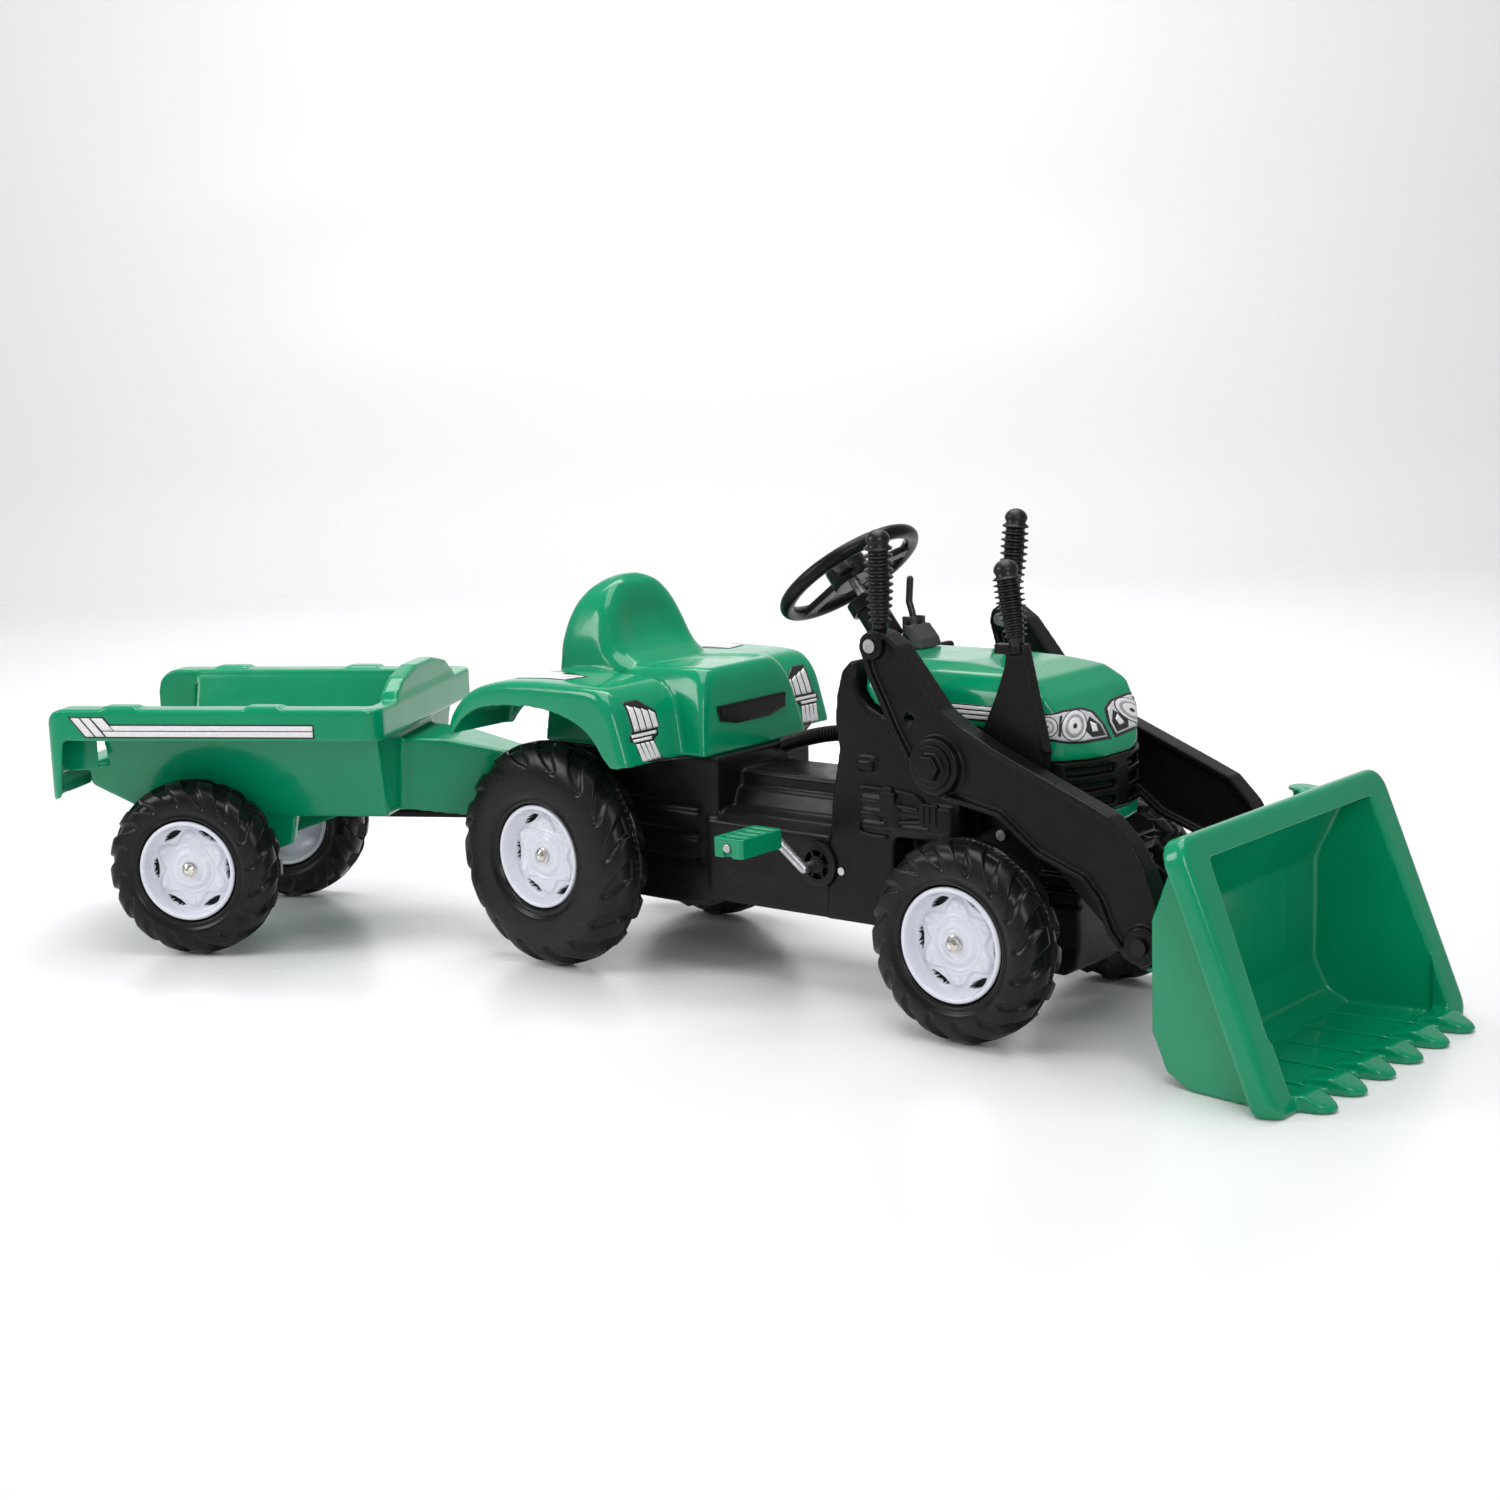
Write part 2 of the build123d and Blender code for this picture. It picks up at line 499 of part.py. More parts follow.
def loader_arm():
    face = Face(Wire.make_polygon([Vector(x, 0, z) for x, z in ARM_OUTLINE], close=True))
    full = Pos(0, -ARM_IN, 0) * extrude(face, ARM_OUT - ARM_IN, dir=(0, -1, 0))
    inset = offset(face.outer_wire(), amount=-6, kind=Kind.INTERSECTION)
    pocket = Face(Wire(inset.edges()))
    deep = Pos(0, -ARM_IN + 1, 0) * extrude(pocket, 10.5, dir=(0, -1, 0))
    deep = deep + Pos(0, -ARM_OUT + 8.5, 0) * extrude(pocket, 10, dir=(0, -1, 0))
    shape = full - deep
    shape = shape + rod_y(LIFT_X, LIFT_Z, 31, -142, -ARM_IN) + rod_y(476, 416, 15, -ARM_OUT - 2, -ARM_IN)
    shape = shape + rod_y(TIP_X, TIP_Z, 20, -ARM_OUT - 1, -ARM_IN)
    shape = shape + stem(ARM_GRIP)
    shape = shape - rod_y(LIFT_X, LIFT_Z, 9 + RUN, -150, -100) - rod_y(TIP_X, TIP_Z, 6 + RUN, -150, -100)
    shape = shape - rod_y(476, 416, 4, -150, -100)
    diamond = Pos(517, -126, 338) * (Rot(0, 35, 0) * Box(11, 30, 11))
    return shape - diamond


def arm_assembly_near():
    pivot = rod_y(LEVER_X, LEVER_Z, 7, -ARM_IN - 4, -97.2)
    return loader_arm() + pivot + rod_y(LEVER_X, LEVER_Z, 11, -ARM_IN - 10, -ARM_IN + 2)


def stem(grip_line):
    """The core a grip is pushed onto, from below the grip to just short of its end."""
    low, high = grip_line
    run = (high - low).normalized()
    return rod(low - run * 14, high - run * 9, 6)


def grip(grip_line):
    low, high = grip_line
    run = (high - low).normalized()
    length = (high - low).length
    shape = rod(low, high, 12.5) + ball(*high, 12.5)
    for i in range(8):
        a = low + run * (4 + i * (length - 10) / 8)
        shape = shape + rod(a, a + run * 4, 16)
    return shape - rod(low - run * 2, low + run * (length - 8), 6)


def arm_grip():
    return grip(ARM_GRIP)


def arm_screws():
    screw = rod_y(476, 416, 7.5, -ARM_OUT - 4.5, -ARM_OUT - 2) + rod_y(476, 416, 4, -ARM_OUT - 2, -ARM_IN + 2)
    nut = rod_y(476, 416, 7.5, -ARM_IN, -ARM_IN + 4)
    return both(screw + nut)


def tilt_lever():
    px, pz = LEVER_X + LINK_DX, LEVER_Z + LINK_DZ
    plate = side_prism([(627, 424), (653, 424), (662, 384), (679, 312), (673, 284), (648, 264), (px + 10, pz - 12),
                        (px - 10, pz - 12), (594, 264), (582, 300), (594, 328), (611, 366), (622, 396)], -103, -98)
    plate = plate + rod_y(px, pz, 12, -103, -98)
    edge = side_prism([(647, 424), (653, 424), (662, 384), (679, 312), (672, 312), (656, 382)], -109, -98)
    lug = box(615, 635, -110, -98, 412, 423)
    pin = rod_y(px, pz, 5, -111.5, -100)
    shape = plate + edge + stem(TILT_GRIP) + lug + pin + rod_y(px, pz, 8, -112, -110.2)
    return shape - rod_y(LEVER_X, LEVER_Z, 7 + RUN, -120, -90)


def tilt_grip():
    return grip(TILT_GRIP)


def tilt_link():
    x0, z0 = LEVER_X + LINK_DX, LEVER_Z + LINK_DZ
    x1, z1 = TIP_X + LINK_DX, TIP_Z + LINK_DZ
    bar = slab(x0, z0, x1, z1, 8, -109.5, -104)
    return bar - rod_y(x0, z0, 5 + RUN, -115, -95) - rod_y(x1, z1, 5 + RUN + 0.3, -115, -95)


def mouth_frame():
    mid = ((MOUTH_TOP[0] + MOUTH_LOW[0]) / 2, 0, (MOUTH_TOP[1] + MOUTH_LOW[1]) / 2)
    down = (MOUTH_LOW[0] - MOUTH_TOP[0], 0, MOUTH_LOW[1] - MOUTH_TOP[1])
    return Plane(origin=mid, x_dir=down, z_dir=(-down[2], 0, down[0])).location


def bucket_block(t):
    side = side_prism([(838 + t, 52), (838 + t, 168), (868 + t, 240 - t), (886 + t, 254 - t), (930, 270),
                       (1010, 40), (1000 + 40 * (t > 0), 0 + t), (884, 0 + t), (856 + t / 2, 14 + t)], -200, 200)
    plan = plan_prism([(830, -172 + t), (1060, -204 + t), (1060, 204 - t), (830, 172 - t)], -10, 300)
    return side & plan


def bucket():
    shape = bucket_block(0) - bucket_block(6)
    cut = mouth_frame() * (Pos(0, 0, 100) * Box(420, 460, 200))
    keep_floor = box(960, 1000, -190, 190, 0, 6)
    shape = shape - cut + keep_floor
    frame = Box(290, 444, 26)
    frame = fillet(frame.edges().filter_by(Axis.Z), 26)
    frame = fillet(frame.faces().sort_by(Axis.Z)[-1].edges(), 8)
    opening = Pos(14, 0, 0) * Box(260, 362, 40)
    opening = fillet(opening.edges().filter_by(Axis.Z), 14) + Pos(80, 0, 0) * Box(160, 362, 40)
    band = mouth_frame() * (Pos(0, 0, -13) * (frame - opening))
    band = band & box(800, 1100, -300, 300, 0, 400)
    shape = shape + band - (bucket_block(6) & box(800, 975, -250, 250, 6, 240))
    for i in range(6):
        y = -160 + 64 * i
        tooth = side_prism([(975, 0), (1030, 0), (1035, 3), (1030, 8), (1004, 17), (975, 12)], y - 19, y + 19)
        nib = plan_prism([(970, y - 19), (1004, y - 19), (1022, y - 15), (1034, y - 6), (1035, y), (1034, y + 6),
                          (1022, y + 15), (1004, y + 19), (970, y + 19)], 0, 40)
        shape = shape + (tooth & nib)
    ear = side_prism([(845, 168), (812, 149), (792, 142), (785, 128), (783, 104), (786, 94), (796, 91), (812, 92),
                      (845, 84)], -103.5, -97.5)
    shape = shape + both(ear - rod_y(TIP_X, TIP_Z, 6, -120, -90))
    peg = rod((868, 90, 236), (868, 90, 262), 9) + rod((868, 90, 258), (868, 90, 262), 15)
    return shape + peg - rod_y(TIP_X + LINK_DX, TIP_Z + LINK_DZ, 5, -110, -90)


def bucket_pins():
    pin = rod_y(TIP_X, TIP_Z, 6, -142, -96) + rod_y(TIP_X, TIP_Z, 9, -145, -141) + rod_y(TIP_X, TIP_Z, 9, -97.5, -94)
    x1, z1 = TIP_X + LINK_DX, TIP_Z + LINK_DZ
    return both(pin) + rod_y(x1, z1, 5, -111.5, -97) + rod_y(x1, z1, 8, -112, -110.2)


# trailer, straight along X about its own axle
def trailer_place(shape):
    return Pos(HITCH_X, 0, 0) * (Rot(0, 0, TRAILER_YAW) * (Pos(-DRAW_LENGTH, 0, 0) * shape))


def tub_block(t):
    side = side_prism([(-152 + t, TUB_TOP), (-150 + t, 206), (-76 + t / 2, 165 + t), (240 - t, 165 + t),
                       (248 - t, TUB_TOP)], -200, 200)
    front = front_prism([(-158 + t, TUB_TOP), (-106 + t, 165 + t), (106 - t, 165 + t), (158 - t, TUB_TOP)],
                        -300, 300)
    return side & front


def trailer_tub():
    rim_box = box(-178, 264, -188, 188, RIM_LOW, TUB_TOP)
    rim_box = fillet(rim_box.edges().filter_by(Axis.Z), 24)
    rim_room = box(-173, 259, -183, 183, RIM_LOW - 8, TUB_TOP - 5)
    rim_room = fillet(rim_room.edges().filter_by(Axis.Z), 20)
    skirt = side_prism([(-178, 290), (-178, 204), (-172, 197), (-160, 202), (-152, 270), (-140, 290)], -188, 188)
    skirt = skirt & (rim_box_tall(-178, 264, 188, 24) - rim_box_tall(-173, 259, 183, 20))
    shape = tub_block(0) + (rim_box - rim_room) + skirt
    shape = shape - tub_inside() - box(-200, -120, -150, 150, 236, 330) + box(-176, -147, -151, 151, 231, 236)
    shape = shape + both(box(-176, -122, -155, -150, 231, TUB_TOP)) - rim_corner()
    board = side_prism([(240, 300), (262, 300), (262, 420), (240, 420)], -140, 140)
    arch = front_prism([(-118, 306), (-108, 322), (-80, 338), (-34, 348), (34, 348), (80, 338), (108, 322),
                        (118, 306)], 200, 300)
    scoop = front_prism([(-104, TUB_TOP - 0.5), (-96, 320), (-70, 332), (-30, 341), (30, 341), (70, 332),
                         (96, 320), (104, TUB_TOP - 0.5)], 200, 254)
    shape = shape + (board & arch) - scoop
    for x in (-96, 92):
        shape = shape + both(box(x, x + 44, -186, -162, TUB_TOP - 1, TUB_TOP + 4))
    bracket = side_prism([(-40, 168), (-22, 98), (22, 98), (108, 128), (116, 168)], -100, -86)
    shape = shape + both(bracket) + (tongue(0) - tongue(5))
    return shape - rod_y(0, SMALL_R, AXLE_R, -120, 120) - box(400, 460, -11.5, 11.5, 100, 155.5)


def rim_corner():
    """The waste outside the rounded upper corner at the back end of each side rim."""
    waste = box(-180, -150, -200, 200, TUB_TOP - 28, TUB_TOP + 10)
    return waste - rod_y(-150, TUB_TOP - 28, 28, -200, 200)


def tongue(t):
    """The hollow neck from the tub's front wall to just behind the hitch."""
    side = side_prism([(240 + 9 * (t > 0), 166 - t), (246 + 3 * (t > 0), 258 - t), (300, 254 - t), (392, 232 - t),
                       (428 - t, 178), (436 - t, 160), (436 - t, 144 - t), (400, 144 - t)], -80, 80)
    plan = plan_prism([(230, -64 + t), (300, -50 + t), (440, -16 + t), (440, 16 - t), (300, 50 - t), (230, 64 - t)],
                      100, 300)
    return side & plan


def rim_box_tall(x0, x1, half, r):
    tall = box(x0, x1, -half, half, 150, TUB_TOP - 5)
    return fillet(tall.edges().filter_by(Axis.Z), r)


def tub_inside():
    upper = tub_block(5) & box(-300, 300, -200, 200, 170, TUB_TOP - 1)
    mouth = box(-146, 242, -152, 152, TUB_TOP - 8, TUB_TOP + 12)
    return upper + mouth


def trailer_axle():
    shaft = rod_y(0, SMALL_R, AXLE_R, -TRAILER_TRACK - 24, TRAILER_TRACK + 24)
    collar = rod_y(0, SMALL_R, 11, -TRAILER_TRACK + 30.6, -101)
    return shaft + both(collar)


def drawbar():
    bar = box(40, 460, -11, 11, 145, 155) + box(40, 210, -14, 14, 150, 164.5)
    eye = rod((DRAW_LENGTH, 0, 145), (DRAW_LENGTH, 0, 155), 15)
    return bar + eye - rod((DRAW_LENGTH, 0, 130), (DRAW_LENGTH, 0, 170), 6 + RUN)


def trailer_stickers():
    strip = side_prism([(-140, 304), (-92, 304), (-84, 294), (180, 294), (180, 280), (-124, 280)], -188.5, -188)
    return both(strip)


def parts():
    small, large, wheel_rim, nut = tyre(SMALL_R, SMALL_HALF_W), tyre(REAR_R, REAR_HALF_W), rim(), dome_nut()
    front = (WHEELBASE, FRONT_TRACK, SMALL_R)
    rear = (0.0, REAR_TRACK, REAR_R)
    tail = (0.0, TRAILER_TRACK, SMALL_R)
    px, pz = CRANK_X + THROW_X, CRANK_Z + THROW_Z
    fx, fz = CRANK_X - THROW_X, CRANK_Z - THROW_Z
    tractor = {
        "chassis_body": chassis_body(), "nose_cover": nose_cover(), "hood": hood(), "grille": grille(),
        "seat_shell": seat_shell(), "seat_panel": seat_panel(), "dash_pod": dash_pod(),
        "column_shroud": column_shroud(), "hose": hose(), "axle_beam": axle_beam(),
        "tow_bracket": tow_bracket(), "hitch_pin": hitch_pin(), "crank_bearings": crank_bearings(),
        "pivot_pins": pivot_pins(), "chain": chain(), "hood_stickers": hood_stickers(),
        "headlight_stickers": headlight_stickers(), "fender_stickers": fender_stickers(),
        "body_screws": body_screws(), "steering_wheel": steering_wheel(), "steering_shaft": steering_shaft(),
        "horn_button": horn_button(), "gear_lever": gear_lever(), "steering_link": steering_link(),
        "knuckle_near": knuckle(), "knuckle_far": mirrored(knuckle()),
        "front_nut_near": near(nut, *front), "front_nut_far": far(nut, *front),
        "front_tyre_near": near(small, *front), "front_tyre_far": far(small, *front),
        "front_rim_near": near(wheel_rim, *front), "front_rim_far": far(wheel_rim, *front),
        "rear_axle": rear_axle(), "rear_nuts": near(nut, *rear) + far(nut, *rear),
        "rear_tyre_near": near(large, *rear), "rear_tyre_far": far(large, *rear),
        "rear_rim_near": near(wheel_rim, *rear), "rear_rim_far": far(wheel_rim, *rear),
        "pedal_crank": pedal_crank(), "pedal_near": pedal(px, pz), "pedal_far": mirrored(pedal(fx, fz)),
        "loader_arm_near": arm_assembly_near(), "loader_arm_far": mirrored(loader_arm()),
        "grip_near": arm_grip(), "grip_far": mirrored(arm_grip()), "arm_screws": arm_screws(),
        "tilt_lever": tilt_lever(), "tilt_grip": tilt_grip(), "tilt_link": tilt_link(),
        "bucket": bucket(), "bucket_pins": bucket_pins(),
    }
    trailer = {
        "trailer_tub": trailer_tub(), "trailer_axle": trailer_axle(), "drawbar": drawbar(),
        "trailer_stickers": trailer_stickers(), "trailer_nuts": near(nut, *tail) + far(nut, *tail),
        "trailer_tyre_near": near(small, *tail), "trailer_tyre_far": far(small, *tail),
        "trailer_rim_near": near(wheel_rim, *tail), "trailer_rim_far": far(wheel_rim, *tail),
    }
    for name, shape in trailer.items():
        tractor[name] = trailer_place(shape)
    return tractor


os.makedirs("parts", exist_ok=True)
for part_name, part_shape in parts().items():
    export_step(Compound(children=(Pos(*CENTRE) * part_shape).solids()), os.path.join("parts", part_name + ".step"))
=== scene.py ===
"""Looks for a child's pedal tractor with a front loader and a trailer, built on its CAD frame.

Lengths named in millimetres are in the tractor's own axes: X forward, Y to the driver's left and Z up, with
zero on the ground under the rear axle. at() and on_trailer() turn them into the frame's metres.
"""

import json
import math

import bmesh
import bpy
from mathutils import Matrix, Vector
from mathutils.bvhtree import BVHTree


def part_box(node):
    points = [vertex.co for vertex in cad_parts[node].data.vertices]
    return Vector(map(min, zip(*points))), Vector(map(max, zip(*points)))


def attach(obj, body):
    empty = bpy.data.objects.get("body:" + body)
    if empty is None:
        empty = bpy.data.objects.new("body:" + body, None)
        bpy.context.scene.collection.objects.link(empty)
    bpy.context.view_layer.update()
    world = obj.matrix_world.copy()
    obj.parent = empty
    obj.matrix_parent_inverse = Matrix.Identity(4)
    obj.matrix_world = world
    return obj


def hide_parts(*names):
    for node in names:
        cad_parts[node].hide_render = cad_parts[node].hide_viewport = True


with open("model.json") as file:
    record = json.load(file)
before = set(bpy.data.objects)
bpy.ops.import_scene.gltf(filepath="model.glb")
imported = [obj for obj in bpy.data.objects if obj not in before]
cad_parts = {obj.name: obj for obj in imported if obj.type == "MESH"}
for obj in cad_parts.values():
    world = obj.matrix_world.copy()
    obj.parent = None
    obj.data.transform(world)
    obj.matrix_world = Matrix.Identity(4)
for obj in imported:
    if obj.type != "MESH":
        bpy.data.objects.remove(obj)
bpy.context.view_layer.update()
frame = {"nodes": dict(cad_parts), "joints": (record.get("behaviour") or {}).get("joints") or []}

MM = 0.001
UP = Vector((0, 0, 1))
JOINTS = {joint["name"]: joint for joint in frame["joints"]}


def joint_place(name):
    return Vector(JOINTS[name]["pos_m"])


def joint_axis(name):
    return Vector(JOINTS[name]["axis"]).normalized()


REAR_AXLE = joint_place("rear_spin")
REAR_R = REAR_AXLE.z / MM
SMALL_R = joint_place("front_spin_right").z / MM
RIM_R = 62.0
LUGS = 16
SEAM_TEETH = 96
TYRE_COLUMNS = 384
RIM_COLUMNS = 240
SPOKE_ANGLE = math.pi / 3
GRIP_RIBS = 11
FLANK_Y = 96.0
TEETH = 6
TOOTH_PITCH = 64
HOSE_R, HOSE_RIB, HOSE_RIB_PITCH = 8.6, 1.2, 4.6
ORIGIN = Matrix.Translation((REAR_AXLE.x, REAR_AXLE.y, 0))
TRAILER_LEFT = joint_axis("trailer_spin_left")
TRAILER_AHEAD = TRAILER_LEFT.cross(UP)
TRAILER_MIDDLE = (joint_place("trailer_spin_left") + joint_place("trailer_spin_right")) / 2
TRAILER = Matrix.Translation((TRAILER_MIDDLE.x, TRAILER_MIDDLE.y, 0)) @ Matrix(
    (TRAILER_AHEAD, TRAILER_LEFT, UP)).transposed().to_4x4()


def at(x, y, z):
    return ORIGIN @ (Vector((x, y, z)) * MM)


def on_trailer(x, y, z):
    return TRAILER @ (Vector((x, y, z)) * MM)


# materials
def new_material(name):
    made = bpy.data.materials.new(name)
    made.use_nodes = True
    nodes, links = made.node_tree.nodes, made.node_tree.links
    return made, nodes, links, nodes["Principled BSDF"]


def object_noise(nodes, links, scale, detail=3.0, stretch=(1, 1, 1)):
    place = nodes.new("ShaderNodeTexCoord")
    mapping = nodes.new("ShaderNodeMapping")
    mapping.inputs["Scale"].default_value = stretch
    noise = nodes.new("ShaderNodeTexNoise")
    noise.inputs["Scale"].default_value = scale
    noise.inputs["Detail"].default_value = detail
    links.new(place.outputs["Object"], mapping.inputs["Vector"])
    links.new(mapping.outputs["Vector"], noise.inputs["Vector"])
    return noise.outputs["Fac"]


def spread(nodes, links, value, low, high, clip=(0.3, 0.7)):
    """The value stretched from the clip range to low..high."""
    band = nodes.new("ShaderNodeMapRange")
    band.inputs["From Min"].default_value = clip[0]
    band.inputs["From Max"].default_value = clip[1]
    band.inputs["To Min"].default_value = low
    band.inputs["To Max"].default_value = high
    links.new(value, band.inputs["Value"])
    return band.outputs["Result"]


def blended(nodes, links, factor, first, second):
    mix = nodes.new("ShaderNodeMix")
    mix.data_type = "RGBA"
    links.new(factor, mix.inputs["Factor"])
    for socket, colour in ((mix.inputs[6], first), (mix.inputs[7], second)):
        if isinstance(colour, tuple):
            socket.default_value = (*colour, 1)
        else:
            links.new(colour, socket)
    return mix.outputs[2]


def bumped(nodes, links, shader, height, strength, distance):
    bump = nodes.new("ShaderNodeBump")
    bump.inputs["Strength"].default_value = strength
    bump.inputs["Distance"].default_value = distance
    links.new(height, bump.inputs["Height"])
    links.new(bump.outputs["Normal"], shader.inputs["Normal"])


def moulded(name, colour, paler, rough, grain, grain_scale, coat=0.0, dust=(0.5, 0.48, 0.45), dusty=0.02,
            sheen=0.5):
    """Moulded plastic: cloudy colour, edges rubbed paler, a film of dust, uneven gloss and a fine grain."""
    made, nodes, links, shader = new_material(name)
    clouds = object_noise(nodes, links, 9.0, 4.0)
    tinted = blended(nodes, links, spread(nodes, links, clouds, 0, 1), colour, paler)
    edges = nodes.new("ShaderNodeNewGeometry").outputs["Pointiness"]
    worn = blended(nodes, links, spread(nodes, links, edges, 0, 0.3, (0.52, 0.62)), tinted,
                   tuple(min(1.0, c * 1.5 + 0.02) for c in paler))
    specks = object_noise(nodes, links, 60.0, 8.0)
    film = blended(nodes, links, spread(nodes, links, specks, 0, dusty, (0.45, 0.75)), worn, dust)
    links.new(film, shader.inputs["Base Color"])
    smears = object_noise(nodes, links, 22.0, 5.0, (1, 1, 2.2))
    links.new(spread(nodes, links, smears, rough[0], rough[1]), shader.inputs["Roughness"])
    shader.inputs["Specular IOR Level"].default_value = sheen
    shader.inputs["Coat Weight"].default_value = coat
    shader.inputs["Coat Roughness"].default_value = 0.06
    bumped(nodes, links, shader, object_noise(nodes, links, grain_scale, 2.0), grain, 0.0004)
    return made


def metal(name, colour, rough, brush):
    """Bare or plated metal with fine drawn lines and a little uneven gloss."""
    made, nodes, links, shader = new_material(name)
    shader.inputs["Metallic"].default_value = 1.0
    stains = object_noise(nodes, links, 70.0, 6.0)
    duller = tuple(c * 0.72 for c in colour)
    tone = blended(nodes, links, spread(nodes, links, stains, 0, 1), colour, duller)
    links.new(tone, shader.inputs["Base Color"])
    lines = object_noise(nodes, links, 500.0, 2.0, brush)
    links.new(spread(nodes, links, lines, rough[0], rough[1]), shader.inputs["Roughness"])
    bumped(nodes, links, shader, lines, 0.12, 0.0002)
    return made


def printed(name, colour, rough=0.28):
    """Printed film: even ink with a slight mottle under a clear gloss."""
    made, nodes, links, shader = new_material(name)
    mottle = object_noise(nodes, links, 300.0, 3.0)
    darker = tuple(c * 0.88 for c in colour)
    ink = blended(nodes, links, spread(nodes, links, mottle, 0, 1), colour, darker)
    links.new(ink, shader.inputs["Base Color"])
    links.new(spread(nodes, links, mottle, rough, rough + 0.08), shader.inputs["Roughness"])
    bumped(nodes, links, shader, object_noise(nodes, links, 120.0, 2.0), 0.05, 0.0003)
    return made


GREEN = moulded("green_plastic", (0.0, 0.235, 0.106), (0.001, 0.27, 0.124), (0.12, 0.24), 0.08, 260.0,
                coat=0.22, dusty=0.002, sheen=0.28)
BLACK = moulded("black_plastic", (0.0046, 0.0041, 0.0039), (0.007, 0.0064, 0.0062), (0.24, 0.4), 0.16, 900.0,
                dusty=0.004, sheen=0.17)
GREY = moulded("grey_plastic", (0.045, 0.046, 0.046), (0.06, 0.06, 0.06), (0.35, 0.5), 0.15, 900.0, sheen=0.4)
TYRE = moulded("tyre_plastic", (0.005, 0.0045, 0.0043), (0.0078, 0.0071, 0.0068), (0.22, 0.36), 0.16, 700.0,
               dusty=0.008, sheen=0.24)
GRIP = moulded("grip_plastic", (0.0045, 0.0041, 0.0041), (0.0072, 0.0067, 0.0067), (0.28, 0.42), 0.2, 1100.0,
               dusty=0.008, sheen=0.34)
WHITE = moulded("white_plastic", (0.68, 0.70, 0.78), (0.74, 0.755, 0.82), (0.22, 0.36), 0.06, 500.0, coat=0.2,
                dust=(0.35, 0.33, 0.32), dusty=0.06)
# painted shade: near-black colour laid in the rims' lens slots for the darkness inside their openings
SLOT_SHADE = moulded("painted_slot_shade", (0.004, 0.004, 0.004), (0.007, 0.007, 0.007), (0.6, 0.8), 0.2, 500.0, dusty=0.0)
STEEL = metal("plated_steel", (0.62, 0.62, 0.64), (0.24, 0.42), (1, 1, 0.08))
BRIGHT = metal("polished_steel", (0.78, 0.74, 0.68), (0.08, 0.2), (1, 1, 1))
BLACK_STEEL = moulded("black_paint", (0.012, 0.012, 0.012), (0.018, 0.018, 0.018), (0.26, 0.4), 0.08, 1500.0)
FILM_WHITE = printed("film_white", (0.78, 0.77, 0.78))
FILM_BLACK = printed("film_black", (0.012, 0.012, 0.013))
FILM_GREY = printed("film_grey", (0.36, 0.35, 0.37))
FILM_SILVER = printed("film_silver", (0.6, 0.6, 0.63), 0.16)

NODE_MATERIALS = {
    GREEN: ("hood", "seat_shell", "horn_button", "pedal_near", "pedal_far", "bucket", "trailer_tub"),
    BLACK: ("chassis_body", "nose_cover", "grille", "seat_panel", "column_shroud", "steering_wheel",
            "loader_arm_near", "loader_arm_far", "tilt_lever", "tilt_link", "pivot_pins", "crank_bearings",
            "hose", "drawbar", "tow_bracket", "bucket_pins"),
    GREY: ("dash_pod",),
    TYRE: ("front_tyre_near", "front_tyre_far", "rear_tyre_near", "rear_tyre_far", "trailer_tyre_near",
           "trailer_tyre_far"),
    WHITE: ("front_rim_near", "front_rim_far", "rear_rim_near", "rear_rim_far", "trailer_rim_near",
            "trailer_rim_far"),
    STEEL: ("axle_beam", "hitch_pin", "chain", "body_screws", "steering_shaft", "steering_link",
            "knuckle_near", "knuckle_far", "rear_axle", "pedal_crank", "arm_screws", "trailer_axle"),
    BLACK_STEEL: ("gear_lever",),
    BRIGHT: ("front_nut_near", "front_nut_far", "rear_nuts", "trailer_nuts"),
    GRIP: ("grip_near", "grip_far", "tilt_grip"),
    FILM_WHITE: ("hood_stickers", "fender_stickers", "trailer_stickers"),
    FILM_BLACK: ("headlight_stickers",),
}


def paint_nodes():
    for material, names in NODE_MATERIALS.items():
        for name in names:
            mesh = frame["nodes"][name].data
            mesh.materials.clear()
            mesh.materials.append(material)


# softened mouldings: the CAD shape with its edges rounded as a mould rounds them
def add_skin(node, voxel, rounds):
    skin = node.modifiers.new("skin", "REMESH")
    skin.mode = "VOXEL"
    skin.voxel_size = voxel * MM
    skin.use_smooth_shade = True
    smooth = node.modifiers.new("rounding", "SMOOTH")
    smooth.factor = 0.5
    smooth.iterations = rounds


def round_edges(name, width):
    node = frame["nodes"][name]
    bevel = node.modifiers.new("edges", "BEVEL")
    bevel.width = width * MM
    bevel.segments = 2
    bevel.limit_method = "ANGLE"
    bevel.angle_limit = math.radians(40)
    bevel.use_clamp_overlap = True
    bevel.harden_normals = True


# the size in mm of the mesh that a moulding gets, and its rounds of smoothing
SOFTENED = {
    "hood": (2.0, 30), "trailer_tub": (2.2, 12), "bucket": (2.0, 14),
    "chassis_body": (2.2, 9), "nose_cover": (1.8, 10), "grille": (1.4, 4), "seat_panel": (1.2, 6),
    "loader_arm_near": (1.6, 5), "loader_arm_far": (1.6, 5), "tilt_lever": (1.2, 5),
    "steering_wheel": (1.4, 5),
    "horn_button": (0.8, 4), "pedal_near": (1.0, 4), "pedal_far": (1.0, 4), "column_shroud": (1.3, 5),
    "dash_pod": (1.0, 4), "pivot_pins": (1.2, 4), "drawbar": (1.6, 4), "gear_lever": (0.8, 3),
    "pedal_crank": (1.0, 3),
}


def soften_mouldings():
    for name, (voxel, rounds) in SOFTENED.items():
        add_skin(frame["nodes"][name], voxel, rounds)
    for name in ("crank_bearings", "tow_bracket", "tilt_link", "bucket_pins", "arm_screws", "hitch_pin"):
        round_edges(name, 0.8)


